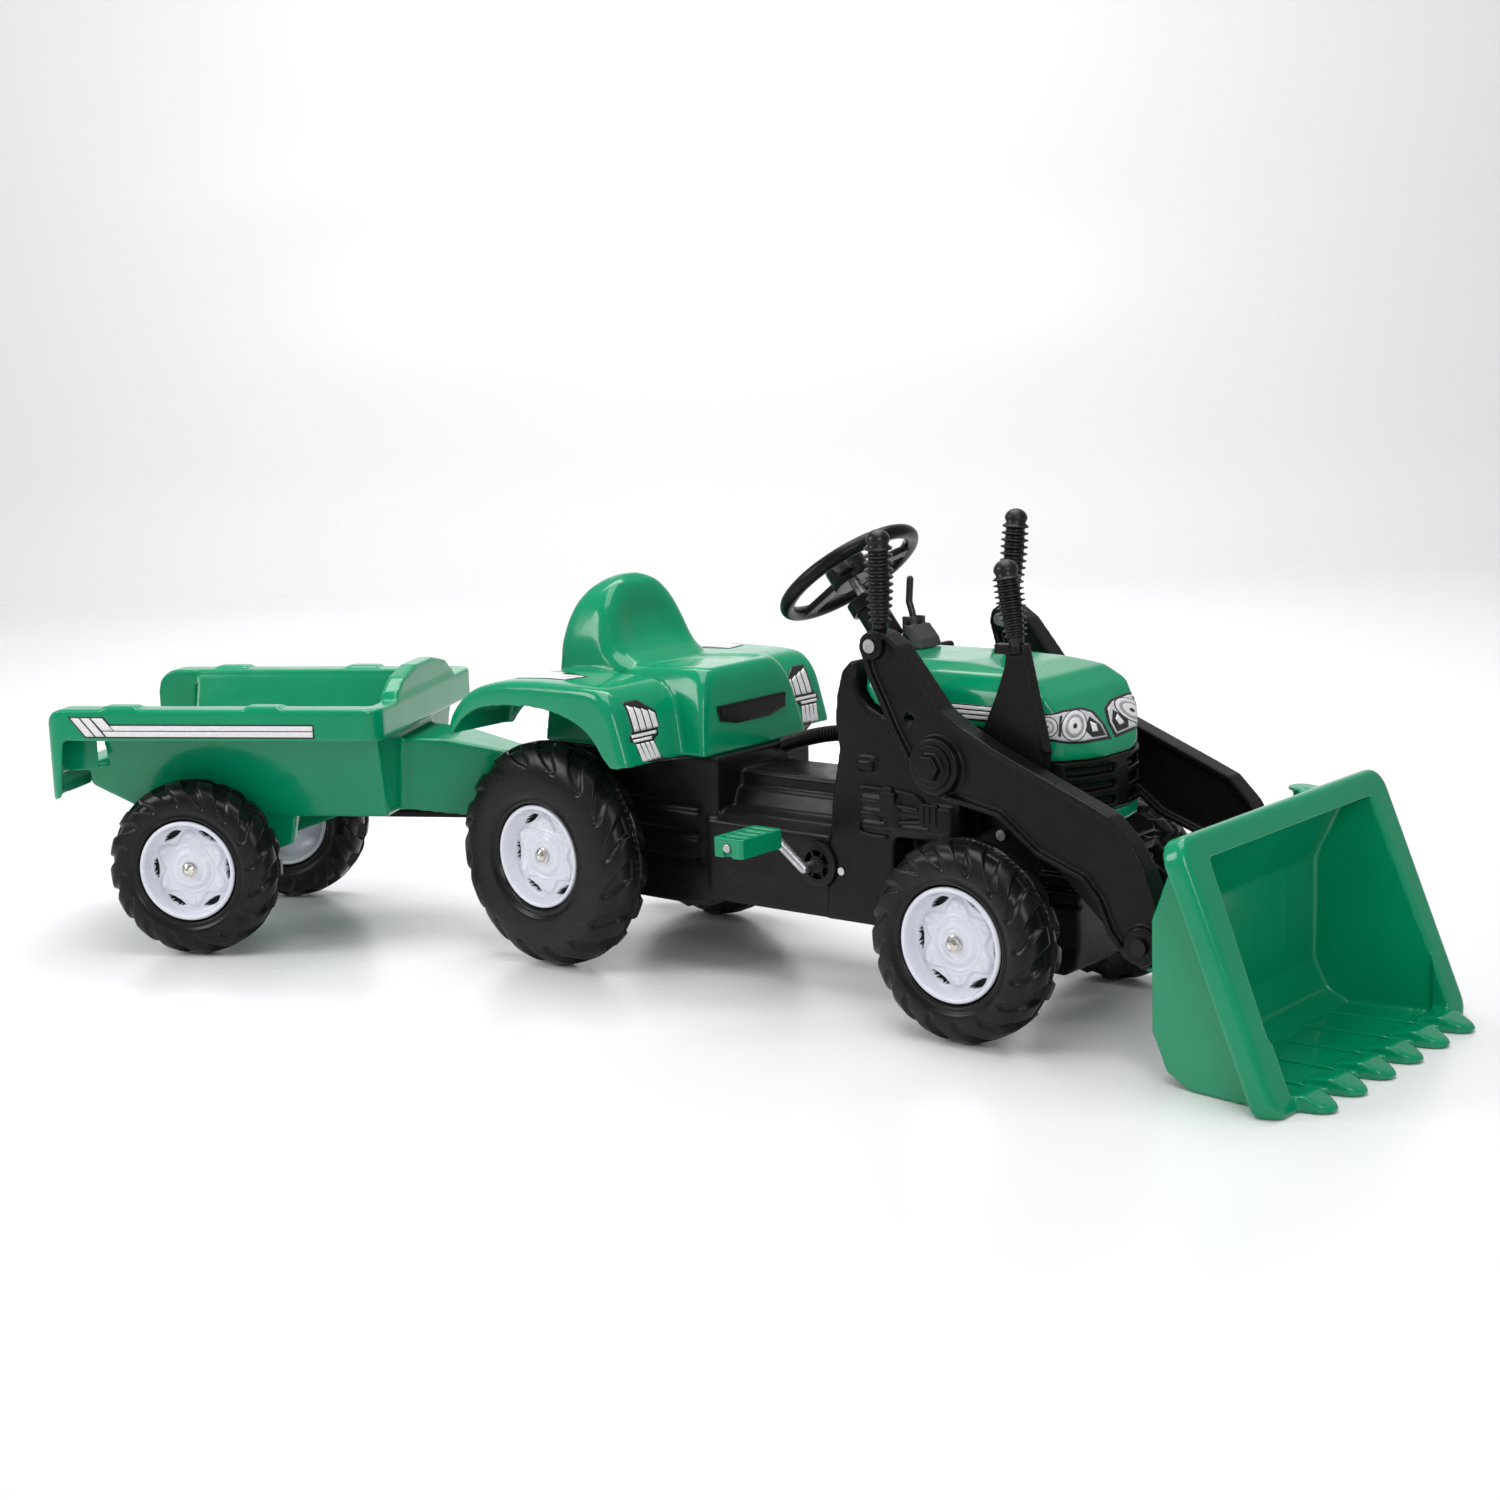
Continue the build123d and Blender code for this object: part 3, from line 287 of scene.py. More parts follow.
# mesh helpers
def make_mesh(name, points, faces, material, body, smooth=True, material_of=None):
    """A piece from points in metres and faces. material_of gives each face's material slot number."""
    mesh = bpy.data.meshes.new(name)
    mesh.from_pydata([tuple(p) for p in points], [], faces)
    mesh.validate()
    for entry in material if isinstance(material, tuple) else (material,):
        mesh.materials.append(entry)
    for index, face in enumerate(mesh.polygons):
        face.use_smooth = smooth
        if material_of:
            face.material_index = material_of[index]
    made = bpy.data.objects.new(name, mesh)
    bpy.context.scene.collection.objects.link(made)
    fix = bmesh.new()
    fix.from_mesh(mesh)
    bmesh.ops.recalc_face_normals(fix, faces=fix.faces)
    fix.to_mesh(mesh)
    fix.free()
    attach(made, body)
    return made


def grid_faces(rows, columns, closed_rows):
    faces = []
    for i in range(rows if closed_rows else rows - 1):
        k = (i + 1) % rows
        for j in range(columns):
            n = (j + 1) % columns
            faces.append((i * columns + j, i * columns + n, k * columns + n, k * columns + j))
    return faces


def ease(low, high, value):
    t = min(1.0, max(0.0, (value - low) / (high - low)))
    return t * t * (3 - 2 * t)


def turned(profile, columns, shift, place):
    """Points of a lathed surface about place's Y axis; shift(row, angle) gives each point's (radius, y)."""
    points = []
    for row in range(len(profile)):
        for column in range(columns):
            angle = 2 * math.pi * column / columns
            r, y = shift(row, angle)
            points.append(place @ (Vector((r * math.cos(angle), y, r * math.sin(angle))) * MM))
    return points


def wheel_place(joint, outward):
    """Axes at a wheel's centre, with +Y as its outer side."""
    left = joint_axis(joint) * (1 if outward > 0 else -1)
    ahead = left.cross(UP)
    return Matrix.Translation(joint_place(joint)) @ Matrix((ahead, left, UP)).transposed().to_4x4()


WHEELS = {
    "front_near": ("front_wheel_right", wheel_place("front_spin_right", -1), SMALL_R, 33.0),
    "front_far": ("front_wheel_left", wheel_place("front_spin_left", 1), SMALL_R, 33.0),
    "trailer_near": ("trailer_wheel_right", wheel_place("trailer_spin_right", -1), SMALL_R, 33.0),
    "trailer_far": ("trailer_wheel_left", wheel_place("trailer_spin_left", 1), SMALL_R, 33.0),
}
for rear_side, rear_sign in (("near", -1), ("far", 1)):
    rear_low, rear_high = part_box(f"rear_tyre_{rear_side}")
    rear_turn = wheel_place("rear_spin", rear_sign).to_3x3().to_4x4()
    rear_place = Matrix.Translation((rear_low + rear_high) / 2) @ rear_turn
    WHEELS[f"rear_{rear_side}"] = ("rear_drive", rear_place, REAR_R, 35.0)


def tyre_section(radius, half):
    """Half of the tyre's section from the crown's middle to the bead, as (radius, y)."""
    crown, widest = radius - 0.2, RIM_R + 20.0
    near_seam = [(crown, y) for y in (0.0, 0.9, 1.3, 3.4, 3.9)]
    arc = []
    for i in range(1, 25):
        angle = math.pi / 2 * i / 24
        reach = math.cos(angle) ** 0.72
        arc.append((widest + (crown - widest) * reach, 4.0 + (half - 4.0) * math.sin(angle) ** 0.82))
    side = [(widest - 4, half - 0.1), (widest - 7, half - 0.7), (widest - 9, half - 2.1),
            (widest - 10, half - 3.2), (widest - 11.5, half - 3.4), (widest - 13, half - 2.4),
            (widest - 14.5, half - 2.3), (widest - 16, half - 3.6), (RIM_R + 2.4, 25.0), (RIM_R + 0.4, 24.0)]
    return near_seam + arc + side


def make_tyre(name, body, place, radius, half):
    right = tyre_section(radius, half)
    inside = [(RIM_R + 0.4, 18.0), (RIM_R + 5, half - 10), (RIM_R + 20, half - 6), (radius - 16, half - 12),
              (radius - 12, 0.0)]
    left = [(r, -y) for r, y in reversed(right[1:])]
    inner_left = [(r, -y) for r, y in inside]
    inner_right = [(r, y) for r, y in reversed(inside[:-1])]
    profile = left + right + inner_right[::-1] + inner_left[::-1][1:]
    pitch = 2 * math.pi / LUGS
    groove_end = radius - 27.0
    outer_rows = len(left) + len(right)

    def shift(row, angle):
        r, y = profile[row]
        if row >= outer_rows:
            return r, y
        reach = abs(y)
        if reach < 3.6:
            tooth = (angle * SEAM_TEETH / (2 * math.pi)) % 1.0 < 0.5
            return r - (1.2 if tooth or reach < 1.0 else 2.6), y
        down = (radius - r) / (radius - groove_end)
        across = 0.45 * reach / half + 0.55 * min(1.0, down)
        turn = (angle - 0.34 * across ** 1.4) / pitch + (0.5 if y < 0 else 0.0)
        off = abs((turn + 0.5) % 1.0 - 0.5)
        width = 0.26 - 0.05 * across
        sunk = 1 - ease(width - 0.04, width + 0.015, off)
        end = 1.02 - 0.3 * min(1.0, off / width) ** 2
        depth = 6.0 * sunk * (1 - ease(end - 0.14, end, down)) * ease(4.2, 5.6, reach)
        slope = min(1.0, down)
        return r - depth * (1 - 0.55 * slope), y - math.copysign(depth * 0.5 * slope, y)

    points = turned(profile, TYRE_COLUMNS, shift, place)
    made = make_mesh(f"{name}_tyre_skin", points, grid_faces(len(profile), TYRE_COLUMNS, True), TYRE, body)
    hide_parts(f"{name.split('_')[0]}_tyre_{name.split('_')[1]}")


def rim_front(r, angle):
    """The height of a rim's outer face at a radius and an angle."""
    boss = 19.3 - 1.0 * math.exp(-((r - 15.5) / 1.2) ** 2)
    slope = 1 - ease(20.5, 27.5, r)
    lobe = 41.5 + 6.5 * math.cos(6 * (angle - math.pi / 6))
    plateau = 12.6 + 2.6 * (1 - ease(lobe - 2.0, lobe + 1.5, r))
    height = plateau + (boss - plateau) * slope
    height += 1.4 * math.exp(-((r - 29.5) / 1.6) ** 2)
    spoke = (angle / SPOKE_ANGLE) % 1.0
    to_bump = (spoke - 0.5) * SPOKE_ANGLE
    bump = math.hypot(r - 42.0, 42.0 * to_bump)
    height += 1.6 * (1 - ease(3.6, 4.8, bump)) + 0.9 * math.exp(-((bump - 6.6) / 0.7) ** 2)
    return height


def slot_share(r, angle):
    """1 inside a rim's lens slots, 0 outside."""
    to_slot = (angle / SPOKE_ANGLE + 0.5) % 1.0 - 0.5
    along = to_slot * SPOKE_ANGLE * 48.0
    half_width = 4.3 * (1 - (along / 13.5) ** 2)
    return 1 - ease(half_width - 0.9, half_width + 0.1, abs(r - 48.6)) if abs(along) < 13.5 else 0.0


def make_rim(name, body, place):
    disc = [6.1, 9.0] + [10.0 + 0.9 * i for i in range(50)]
    front = [(r, 0.0) for r in disc]
    wall = [(55.3, 16.0), (56.1, 21.0), (57.0, 26.0), (57.5, 29.0), (58.3, 30.3), (59.6, 30.9), (61.2, 30.6),
            (62.4, 29.6), (62.9, 28.2), (62.9, 26.6), (62.0, 26.0)]
    back = [(62.0, -25.0), (61.4, -26.0), (57.6, -26.0), (57.0, -25.2), (56.4, 3.0), (14.0, 3.0), (13.0, 2.0),
            (13.0, -29.0), (12.0, -30.0), (6.1, -30.0)]
    profile = front + wall + back

    def shift(row, angle):
        r, y = profile[row]
        if row >= len(front):
            return r, y
        return r, rim_front(r, angle) - 9.0 * slot_share(r, angle)

    faces = grid_faces(len(profile), RIM_COLUMNS, True)
    # marks the faces inside the lens slots, which get the painted slot shade (material slot 1) instead of
    # white
    inside = []
    for index in range(len(faces)):
        row, column = divmod(index, RIM_COLUMNS)
        angle = 2 * math.pi * (column + 0.5) / RIM_COLUMNS
        middle = (profile[row][0] + profile[(row + 1) % len(profile)][0]) / 2
        inside.append(1 if row < len(front) - 1 and slot_share(middle, angle) > 0.45 else 0)
    points = turned(profile, RIM_COLUMNS, shift, place)
    made = make_mesh(f"{name}_rim_face", points, faces, (WHITE, SLOT_SHADE), body, material_of=inside)
    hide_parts(f"{name.split('_')[0]}_rim_{name.split('_')[1]}")


def make_wheels():
    for name, (body, place, radius, half) in WHEELS.items():
        make_tyre(name, body, place, radius, half)
        make_rim(name, body, place)


# ribbed grips
def make_grip(name, node, body, low, high, top_r):
    """A hand grip from low to high, narrower at its foot, with thin ribs and a domed knob."""
    axis = (high - low).normalized()
    side = axis.orthogonal().normalized()
    place = Matrix.Translation(low) @ Matrix((side, axis, side.cross(axis))).transposed().to_4x4()
    length = (high - low).length / MM
    foot_r, pitch = top_r - 5.0, (length - 6.0) / GRIP_RIBS
    profile = [(6.2, -6.0), (foot_r - 1.5, -6.0), (foot_r, -4.0)]
    for i in range(GRIP_RIBS):
        y = 1.0 + pitch * i
        swell = math.sin(math.pi * min(1.0, (i + 1.5) / GRIP_RIBS * 0.62))
        core, rib = foot_r + (top_r - foot_r - 1.0) * swell, foot_r + (top_r - foot_r) * swell + 3.4
        profile += [(core, y), (core, y + pitch * 0.45), (rib - 0.6, y + pitch * 0.6),
                    (rib, y + pitch * 0.68), (rib, y + pitch * 0.78), (rib - 0.6, y + pitch * 0.86)]
    profile += [(top_r - 1.5, length - 3)]
    for i in range(9):
        angle = math.pi / 2 * i / 8
        profile.append(((top_r + 0.6) * math.cos(angle) + 0.05, length + 2 + (top_r - 1.0) * math.sin(angle)))
    points = turned(profile, 40, lambda row, angle: profile[row], place)
    made = make_mesh(name, points, grid_faces(len(profile), 40, False), GRIP, body)
    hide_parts(node)


def make_grips():
    make_grip("grip_skin_near", "grip_near", "loader", at(480.6, -127.2, 436), at(485, -134, 528), 12.5)
    make_grip("grip_skin_far", "grip_far", "loader", at(480.6, 127.2, 436), at(485, 134, 528), 12.5)
    make_grip("grip_skin_tilt", "tilt_grip", "tilt", at(638.5, -103, 426.5), at(627, -103, 498), 12.5)


# raised details
def make_pipe(name, knots, r, body, material):
    """A round bar along a smooth curve through the knots, with rounded ends."""
    path = through([at(*knot) for knot in knots], 10 * len(knots))
    points, sides = [], 12
    turns = [2 * math.pi * j / sides for j in range(sides)]
    for i, point in enumerate(path):
        ahead = (path[min(i + 1, len(path) - 1)] - path[max(i - 1, 0)]).normalized()
        across = ahead.cross(Vector((0.02, 1, 0.01))).normalized()
        up = ahead.cross(across)
        end = min(i, len(path) - 1 - i)
        swell = r * MM * math.sin(math.pi / 2 * min(1.0, (end + 0.6) / 3))
        points += [point + (across * math.cos(turn) + up * math.sin(turn)) * swell for turn in turns]
    faces = grid_faces(len(path), sides, False)
    faces += [tuple(range(sides)), tuple(len(points) - sides + j for j in range(sides))]
    return make_mesh(name, points, faces, material, body)


def make_pad(name, corners, y0, y1, body, material, soft):
    """A flat plate with rounded edges: its outline (x, z), from y0 to y1."""
    count = len(corners)
    points = [at(x, y, z) for y in (y0, y1) for x, z in corners]
    faces = [tuple(range(count)), tuple(range(count, 2 * count))]
    faces += [(i, (i + 1) % count, count + (i + 1) % count, count + i) for i in range(count)]
    made = make_mesh(name, points, faces, material, body, smooth=False)
    edge = made.modifiers.new("edges", "BEVEL")
    edge.width, edge.segments = soft * MM, 3
    edge.limit_method = "ANGLE"
    return made


def rectangle(x0, x1, z0, z1):
    return [(x0, z0), (x1, z0), (x1, z1), (x0, z1)]


def engine_relief():
    """The moulded engine on each flank: pipes, blocks and a ribbed box."""
    pipes = [[(423, 250), (452, 250), (462, 244)], [(472, 250), (500, 246), (512, 238)],
             [(423, 235), (440, 235), (452, 235)], [(474, 233), (490, 232), (506, 231)],
             [(423, 221), (444, 221), (454, 214)], [(476, 214), (500, 217), (520, 219)],
             [(422, 210), (424, 199), (440, 196), (462, 196)]]
    blocks = [(rectangle(453, 474, 220, 248), 4.6), (rectangle(457, 470, 214, 254), 3.4),
              (rectangle(506, 532, 214, 240), 4.4), (rectangle(536, 549, 217, 238), 3.6)]
    ribs = [rectangle(x, x + 3, 217, 237) for x in (511, 519, 527)]
    for side, sign in (("near", -1), ("far", 1)):
        for index, line in enumerate(pipes):
            knots = [(x, sign * (FLANK_Y + 1), z) for x, z in line]
            make_pipe(f"engine_pipe_{index}_{side}", knots, 2.6, "tractor", BLACK)
        foot = sign * (FLANK_Y - 1)
        for index, (plate, out) in enumerate(blocks):
            top = sign * (FLANK_Y + out)
            make_pad(f"engine_block_{index}_{side}", plate, foot, top, "tractor", BLACK, 2.0)
        low, high = sign * (FLANK_Y + 3), sign * (FLANK_Y + 5.6)
        for index, plate in enumerate(ribs):
            make_pad(f"engine_rib_{index}_{side}", plate, low, high, "tractor", BLACK, 0.9)


def bucket_steps():
    """The bucket floor's low ridges, one running back from each tooth."""
    for index in range(TEETH):
        y = -183 + TOOTH_PITCH * index
        knots = [(872, y * 0.94, 6.4), (900, y * 0.955, 6.4), (940, y * 0.98, 6.4), (978, y, 7.2)]
        make_pipe(f"bucket_ridge_{index}", knots, 1.7, "bucket_unit", GREEN)


# seat and fenders
def through(knots, count):
    """Points evenly spread along a smooth curve through the knots."""
    ends = [2 * knots[0] - knots[1]] + list(knots) + [2 * knots[-1] - knots[-2]]
    points = []
    for i in range(count):
        t = i / (count - 1) * (len(knots) - 1)
        k = min(int(t), len(knots) - 2)
        t -= k
        a, b, c, d = ends[k:k + 4]
        points.append(0.5 * (2 * b + (c - a) * t + (2 * a - 5 * b + 4 * c - d) * t ** 2
                             + (3 * b - a - 3 * c + d) * t ** 3))
    return points


def side_curve(pairs, count):
    return through([Vector((x, z)) for x, z in pairs], count)


def height_table(pairs, value):
    """The value's place between (key, result) pairs."""
    for (k0, v0), (k1, v1) in zip(pairs, pairs[1:]):
        if value <= k1:
            return v0 + (v1 - v0) * max(0.0, (value - k0) / (k1 - k0))
    return pairs[-1][1]


# the seat's outlines seen from the side: (z, x) for the backrest, (x, z) for the pan and the fenders
BACK_REAR = [(300, -58), (344, -58), (380, -52), (410, -43), (430, -35), (446, -24), (456, -12), (462, 0)]
BACK_FRONT = [(300, 78), (356, 75), (372, 54), (384, 46), (395, 41), (410, 35), (430, 28), (452, 20),
              (462, 8)]
PAN_TOP = [(-56, 336), (-20, 348), (30, 352), (60, 361), (90, 365), (120, 367), (150, 368.5), (168, 367),
           (180, 360), (187, 348), (191, 330), (196, 290), (199, 264)]
FENDER_TOP = [(-134, 276), (-121, 308), (-88, 336), (-40, 349), (10, 353), (60, 353), (105, 352), (128, 346),
              (145, 326), (157, 292), (166, 262)]
FENDER_ARCH = [(-121, 277), (-108, 292), (-90, 306), (-60, 317), (0, 322), (40, 320), (75, 312), (100, 300),
               (116, 286), (127, 270), (141, 258)]


def seat_back():
    rows, columns = [], 64
    for i in range(42):
        z = 300 + 161.5 * math.sin(math.pi / 2 * i / 41) ** 0.9
        half = 85 * math.sqrt(max(0.0, 1 - ((z - 262) / 200) ** 4.5))
        rear, front = height_table(BACK_REAR, z), height_table(BACK_FRONT, z)
        row = []
        for j in range(columns):
            angle = 2 * math.pi * j / columns
            c, d = math.cos(angle), math.sin(angle)
            x = (rear + front) / 2 + (front - rear) / 2 * math.copysign(abs(c) ** 0.4, c)
            y = half * math.copysign(abs(d) ** 0.45, d)
            if c > 0:
                bowl = 1 - ease(half - 52, half - 12, abs(y))
                x -= 9 * bowl * ease(352, 392, z) * (1 - ease(404, 449, z))
            row.append((x, y, z))
        rows.append(row)
    return rows


def seat_pan():
    rows, columns = [], 72
    for x, top in side_curve(PAN_TOP, 60):
        row = []
        for j in range(columns):
            angle = math.pi * j / (columns - 1)
            c, d = math.cos(angle), math.sin(angle)
            rise = abs(d) ** 0.3
            z = 262 + (top - 262) * rise
            y = math.copysign(abs(c) ** 0.3, c) * (98 - 19 * min(1.0, (z - 262) / 100))
            lengthwise = ease(56, 84, x) * (1 - ease(160, 182, x))
            dish = (1 - ease(44, 70, abs(y))) * lengthwise * ease(0.8, 0.95, rise)
            row.append((x, y, z - 9 * dish))
        rows.append(row)
    return rows


def fender_shell(sign):
    """A swept shell: flat top, rounded outer corner, and cheeks down to the arch inside and outside."""
    top, arch = side_curve(FENDER_TOP, 72), side_curve(FENDER_ARCH, 72)
    rows = []
    for crown, edge in zip(top, arch):
        down = edge - crown
        unit, reach = down.normalized(), down.length
        outer = [(84, reach), (84, 4.0), (88, 0.3), (120, 0.0), (160, 0.0), (178, 0.3), (186, 1.4),
                 (191.5, 4.2), (194, 8.0), (195, 13.0), (195, reach)]
        inner = [(190, reach), (190, 14.0), (188.5, 9.5), (184, 6.2), (176, 5.0), (92, 5.0), (89, 8.0),
                 (89, reach)]
        row = []
        for y, deep in outer + inner:
            place = crown + unit * min(deep, reach)
            row.append((place.x, sign * y, place.y))
        rows.append(row)
    return rows


def add_loft(work, rows):
    """A closed solid through rows of points, capped at both ends."""
    grid = [[work.verts.new(at(*p)) for p in row] for row in rows]
    for first, second in zip(grid, grid[1:]):
        for j in range(len(first)):
            n = (j + 1) % len(first)
            work.faces.new((first[j], first[n], second[n], second[j]))
    work.faces.new(grid[0])
    work.faces.new(grid[-1][::-1])


def make_seat():
    work = bmesh.new()
    for rows in (seat_back(), seat_pan(), fender_shell(-1), fender_shell(1)):
        add_loft(work, rows)
    bmesh.ops.recalc_face_normals(work, faces=work.faces)
    mesh = bpy.data.meshes.new("seat_skin")
    work.to_mesh(mesh)
    work.free()
    mesh.materials.append(GREEN)
    seat = bpy.data.objects.new("seat_skin", mesh)
    bpy.context.scene.collection.objects.link(seat)
    add_skin(seat, 2.0, 16)
    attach(seat, "tractor")
    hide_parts("seat_shell")
    return seat


# corrugated hose
def make_hose():
    route = [at(x, 36, z) for x, z in ((213.5, 258.4), (240, 268), (290, 280), (340, 282), (384.5, 276.2))]
    curve = bpy.data.curves.new("hose_line", "CURVE")
    curve.dimensions = "3D"
    spline = curve.splines.new("NURBS")
    spline.points.add(len(route) - 1)
    for knot, point in zip(spline.points, route):
        knot.co = (*point, 1)
    spline.order_u = 3
    spline.use_endpoint_u = True
    spline.resolution_u = 64
    line = bpy.data.objects.new("hose_line", curve)
    path = [v.co.copy() for v in bpy.data.meshes.new_from_object(line).vertices]
    bpy.data.objects.remove(line)
    points, columns, run = [], 28, 0.0
    for i, point in enumerate(path):
        ahead = (path[min(i + 1, len(path) - 1)] - path[max(i - 1, 0)]).normalized()
        side = ahead.cross(UP).normalized()
        run += (point - path[i - 1]).length if i else 0.0
        r = (HOSE_R + HOSE_RIB * math.sin(2 * math.pi * run / (HOSE_RIB_PITCH * MM))) * MM
        for j in range(columns):
            angle = 2 * math.pi * j / columns
            points.append(point + side * r * math.cos(angle) + ahead.cross(side) * r * math.sin(angle))
    made = make_mesh("hose_skin", points, grid_faces(len(path), columns, False), BLACK, "tractor")
    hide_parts("hose")


# stickers, laid onto the surface that carries them
def surface_of(carrier):
    """A search tree over an object's finished surface."""
    mesh = carrier.evaluated_get(bpy.context.evaluated_depsgraph_get()).to_mesh()
    corners = [v.co.copy() for v in mesh.vertices]
    return BVHTree.FromPolygons(corners, [tuple(f.vertices) for f in mesh.polygons])


def decal(name, outlines, surface, place, towards, lift, material, body, step=4.0):
    """Flat outlines, set by place(a, b), pushed along towards onto the surface and lifted off it."""
    work = bmesh.new()
    for outline in outlines:
        corners = [work.verts.new((a * MM, b * MM, 0)) for a, b in outline]
        work.faces.new(corners)
    bmesh.ops.triangulate(work, faces=work.faces[:])
    for _ in range(6):
        long_edges = [e for e in work.edges if e.calc_length() > step * MM]
        if not long_edges:
            break
        bmesh.ops.subdivide_edges(work, edges=long_edges, cuts=1)
        bmesh.ops.triangulate(work, faces=work.faces[:])
    points = []
    for vertex in work.verts:
        start = place(vertex.co.x / MM, vertex.co.y / MM)
        hit, normal = surface.ray_cast(start, towards)[:2]
        if hit is None:
            hit, normal = surface.find_nearest(start)[:2]
        if normal.dot(towards) > 0:
            normal = -normal
        points.append(hit + normal * lift * MM)
    work.verts.index_update()
    faces = [tuple(v.index for v in face.verts) for face in work.faces]
    work.free()
    made = make_mesh(name, points, faces, material, body)
    thick = made.modifiers.new("film", "SOLIDIFY")
    thick.thickness = 0.15 * MM
    thick.offset = 1.0
    return made


def disc(a, b, r, sides=28):
    turns = [2 * math.pi * i / sides for i in range(sides)]
    return [(a + r * math.cos(turn), b + r * math.sin(turn)) for turn in turns]


def bars(a0, a1, b0, b1, count, gap, lean):
    """Parallel bars filling a0..a1 by b0..b1, leaning by lean over their height."""
    made, height = [], (b1 - b0 - gap * (count - 1)) / count
    for i in range(count):
        low = b0 + i * (height + gap)
        high = low + height
        made.append([(a0 + lean * (low - b0), low), (a1 + lean * (low - b0), low),
                     (a1 + lean * (high - b0), high), (a0 + lean * (high - b0), high)])
    return made


def hood_stripes(hood, side, sign):
    def place(a, b):
        return at(a, sign * 130, b)
    edge = [(533, 335), (640, 335), (640, 352), (527, 352)]
    towards = Vector((0, -sign, 0))
    base = decal(f"hood_stripe_edge_{side}", [edge], hood, place, towards, 0.15, FILM_BLACK, "tractor")
    lines = bars(535.5, 637.5, 336.8, 350.4, 3, 1.5, -0.3)
    decal(f"hood_stripe_bars_{side}", lines, hood, place, towards, 0.4, FILM_WHITE, "tractor")
    return base


def headlight(hood, side, sign):
    towards = Vector((-0.6, -0.8 * sign, 0)).normalized()
    across = Vector((-towards.y * sign, towards.x * sign, 0))
    middle = at(684, sign * 70, 333) - towards * 0.05

    def place(a, b):
        return middle + across * (a * MM) + UP * b * MM
    eye = [(-40, -8), (-39, 10), (-33, 15), (-8, 17), (14, 15), (28, 9), (40, -6), (47, -21), (22, -19),
           (0, -18), (-22, -14)]
    inner = [(-37, -6), (-36, 8.6), (-31, 12.6), (-8, 14.6), (13, 12.8), (25.6, 7.4), (36.6, -6), (42, -18),
             (22, -16.4), (0, -15.4), (-22, -11.6)]
    parts = (("edge", [eye], FILM_BLACK, 0.15), ("field", [inner], FILM_SILVER, 0.35),
             ("shade", [[(22, 5), (34, -5), (40, -16.5), (24, -15), (15, -6)], disc(-25, 1, 11.2),
                        disc(4, -0.5, 15.0)], FILM_BLACK, 0.55),
             ("rings", [disc(-25, 1, 10.2), disc(4, -0.5, 14.0)], FILM_WHITE, 0.75),
             ("bowls", [disc(-25, 1, 7.4), disc(4, -0.5, 10.8)], FILM_GREY, 0.95),
             ("bulbs", [disc(-25, 1, 5.2), disc(4, -0.5, 7.8), [(24, -10), (31, -11), (29, -4), (22, 0)]],
              FILM_WHITE, 1.15),
             ("marks", [disc(-25, 1, 1.6), disc(4, -0.5, 2.4),
                        [(-13.5, -9), (-11, -9), (-10, 12), (-12.5, 12)]], FILM_BLACK, 1.35))
    made = [decal(f"headlight_{part}_{side}", shapes, hood, place, towards, lift, material, "tractor", 3.0) for part, shapes, material, lift in parts]
    return made[0]


def fender_art(seat, side, sign):
    def top(a, b):
        return at(a, sign * b, 420)

    def face(a, b):
        return at(230, sign * a, b)
    down, back = Vector((0, 0, -1)), Vector((-1, 0, 0))
    outline = [(-44, 121), (10, 119), (14, 130), (52, 132), (48, 166), (-30, 170)]
    made = decal(f"fender_top_edge_{side}", [outline], seat, top, down, 0.2, FILM_BLACK, "tractor")
    stripes = [[(-41, 123.5), (7, 121.5), (10, 132), (-38, 134)],
               [(-37.5, 136), (10, 134), (50, 134.5), (49, 144), (-35, 146)],
               [(-34.5, 148), (48.5, 146), (47, 155), (-32, 157)],
               [(-31, 159), (46.6, 157), (46, 164), (-28, 168)]]
    decal(f"fender_top_bars_{side}", stripes, seat, top, down, 0.45, FILM_WHITE, "tractor")
    outline = [(122, 318), (146, 334), (170, 334), (170, 302), (178, 296), (178, 290), (170, 288), (170, 274),
               (152, 262), (128, 262), (138, 274), (138, 288), (128, 292), (128, 298), (124, 300)]
    decal(f"fender_face_edge_{side}", [outline], seat, face, back, 0.2, FILM_BLACK, "tractor")
    upper = [[(125 + 11 * i, 300), (134 + 11 * i, 300), (134 + 11 * i, 321 + 3 * i),
              (125 + 11 * i, 316 + 3.4 * i)] for i in range(4)]
    lower = [[(140 + 8 * i, 286), (146 + 8 * i, 286), (142 + 8 * i, 266), (134 + 8 * i, 265)]
             for i in range(4)]
    waist = [[(131, 297), (174, 297), (174, 293.6), (131, 293.6)],
             [(141, 291.6), (174, 291.6), (172, 288.4), (141, 288.4)]]
    decal(f"fender_face_bars_{side}", upper + lower + waist, seat, face, back, 0.45, FILM_WHITE, "tractor")
    return made


def trailer_stripe(tub, side, sign):
    def place(a, b):
        return on_trailer(a, sign * 230, b)
    towards = TRAILER_LEFT * -sign
    edge = [(-142, 305.5), (-94, 305.5), (-86, 296), (182, 296), (182, 278.5), (-120, 278.5)]
    made = decal(f"trailer_stripe_edge_{side}", [edge], tub, place, towards, 0.2, FILM_BLACK, "trailer", 6.0)
    shapes = [[(-138, 303.5), (-127, 303.5), (-108, 280.5), (-119, 280.5)],
              [(-124.5, 303.5), (-113, 303.5), (-94, 280.5), (-105.5, 280.5)],
              [(-110.5, 303.5), (-95.5, 303.5), (-87.5, 294.1), (-82, 288.1), (-97, 288.1)],
              [(-86, 294.1), (180, 294.1), (180, 288.1), (-81, 288.1)],
              [(-96.5, 286.9), (180, 286.9), (180, 280.5), (-91.5, 280.5)]]
    decal(f"trailer_stripe_bars_{side}", shapes, tub, place, towards, 0.45, FILM_WHITE, "trailer", 6.0)
    return made


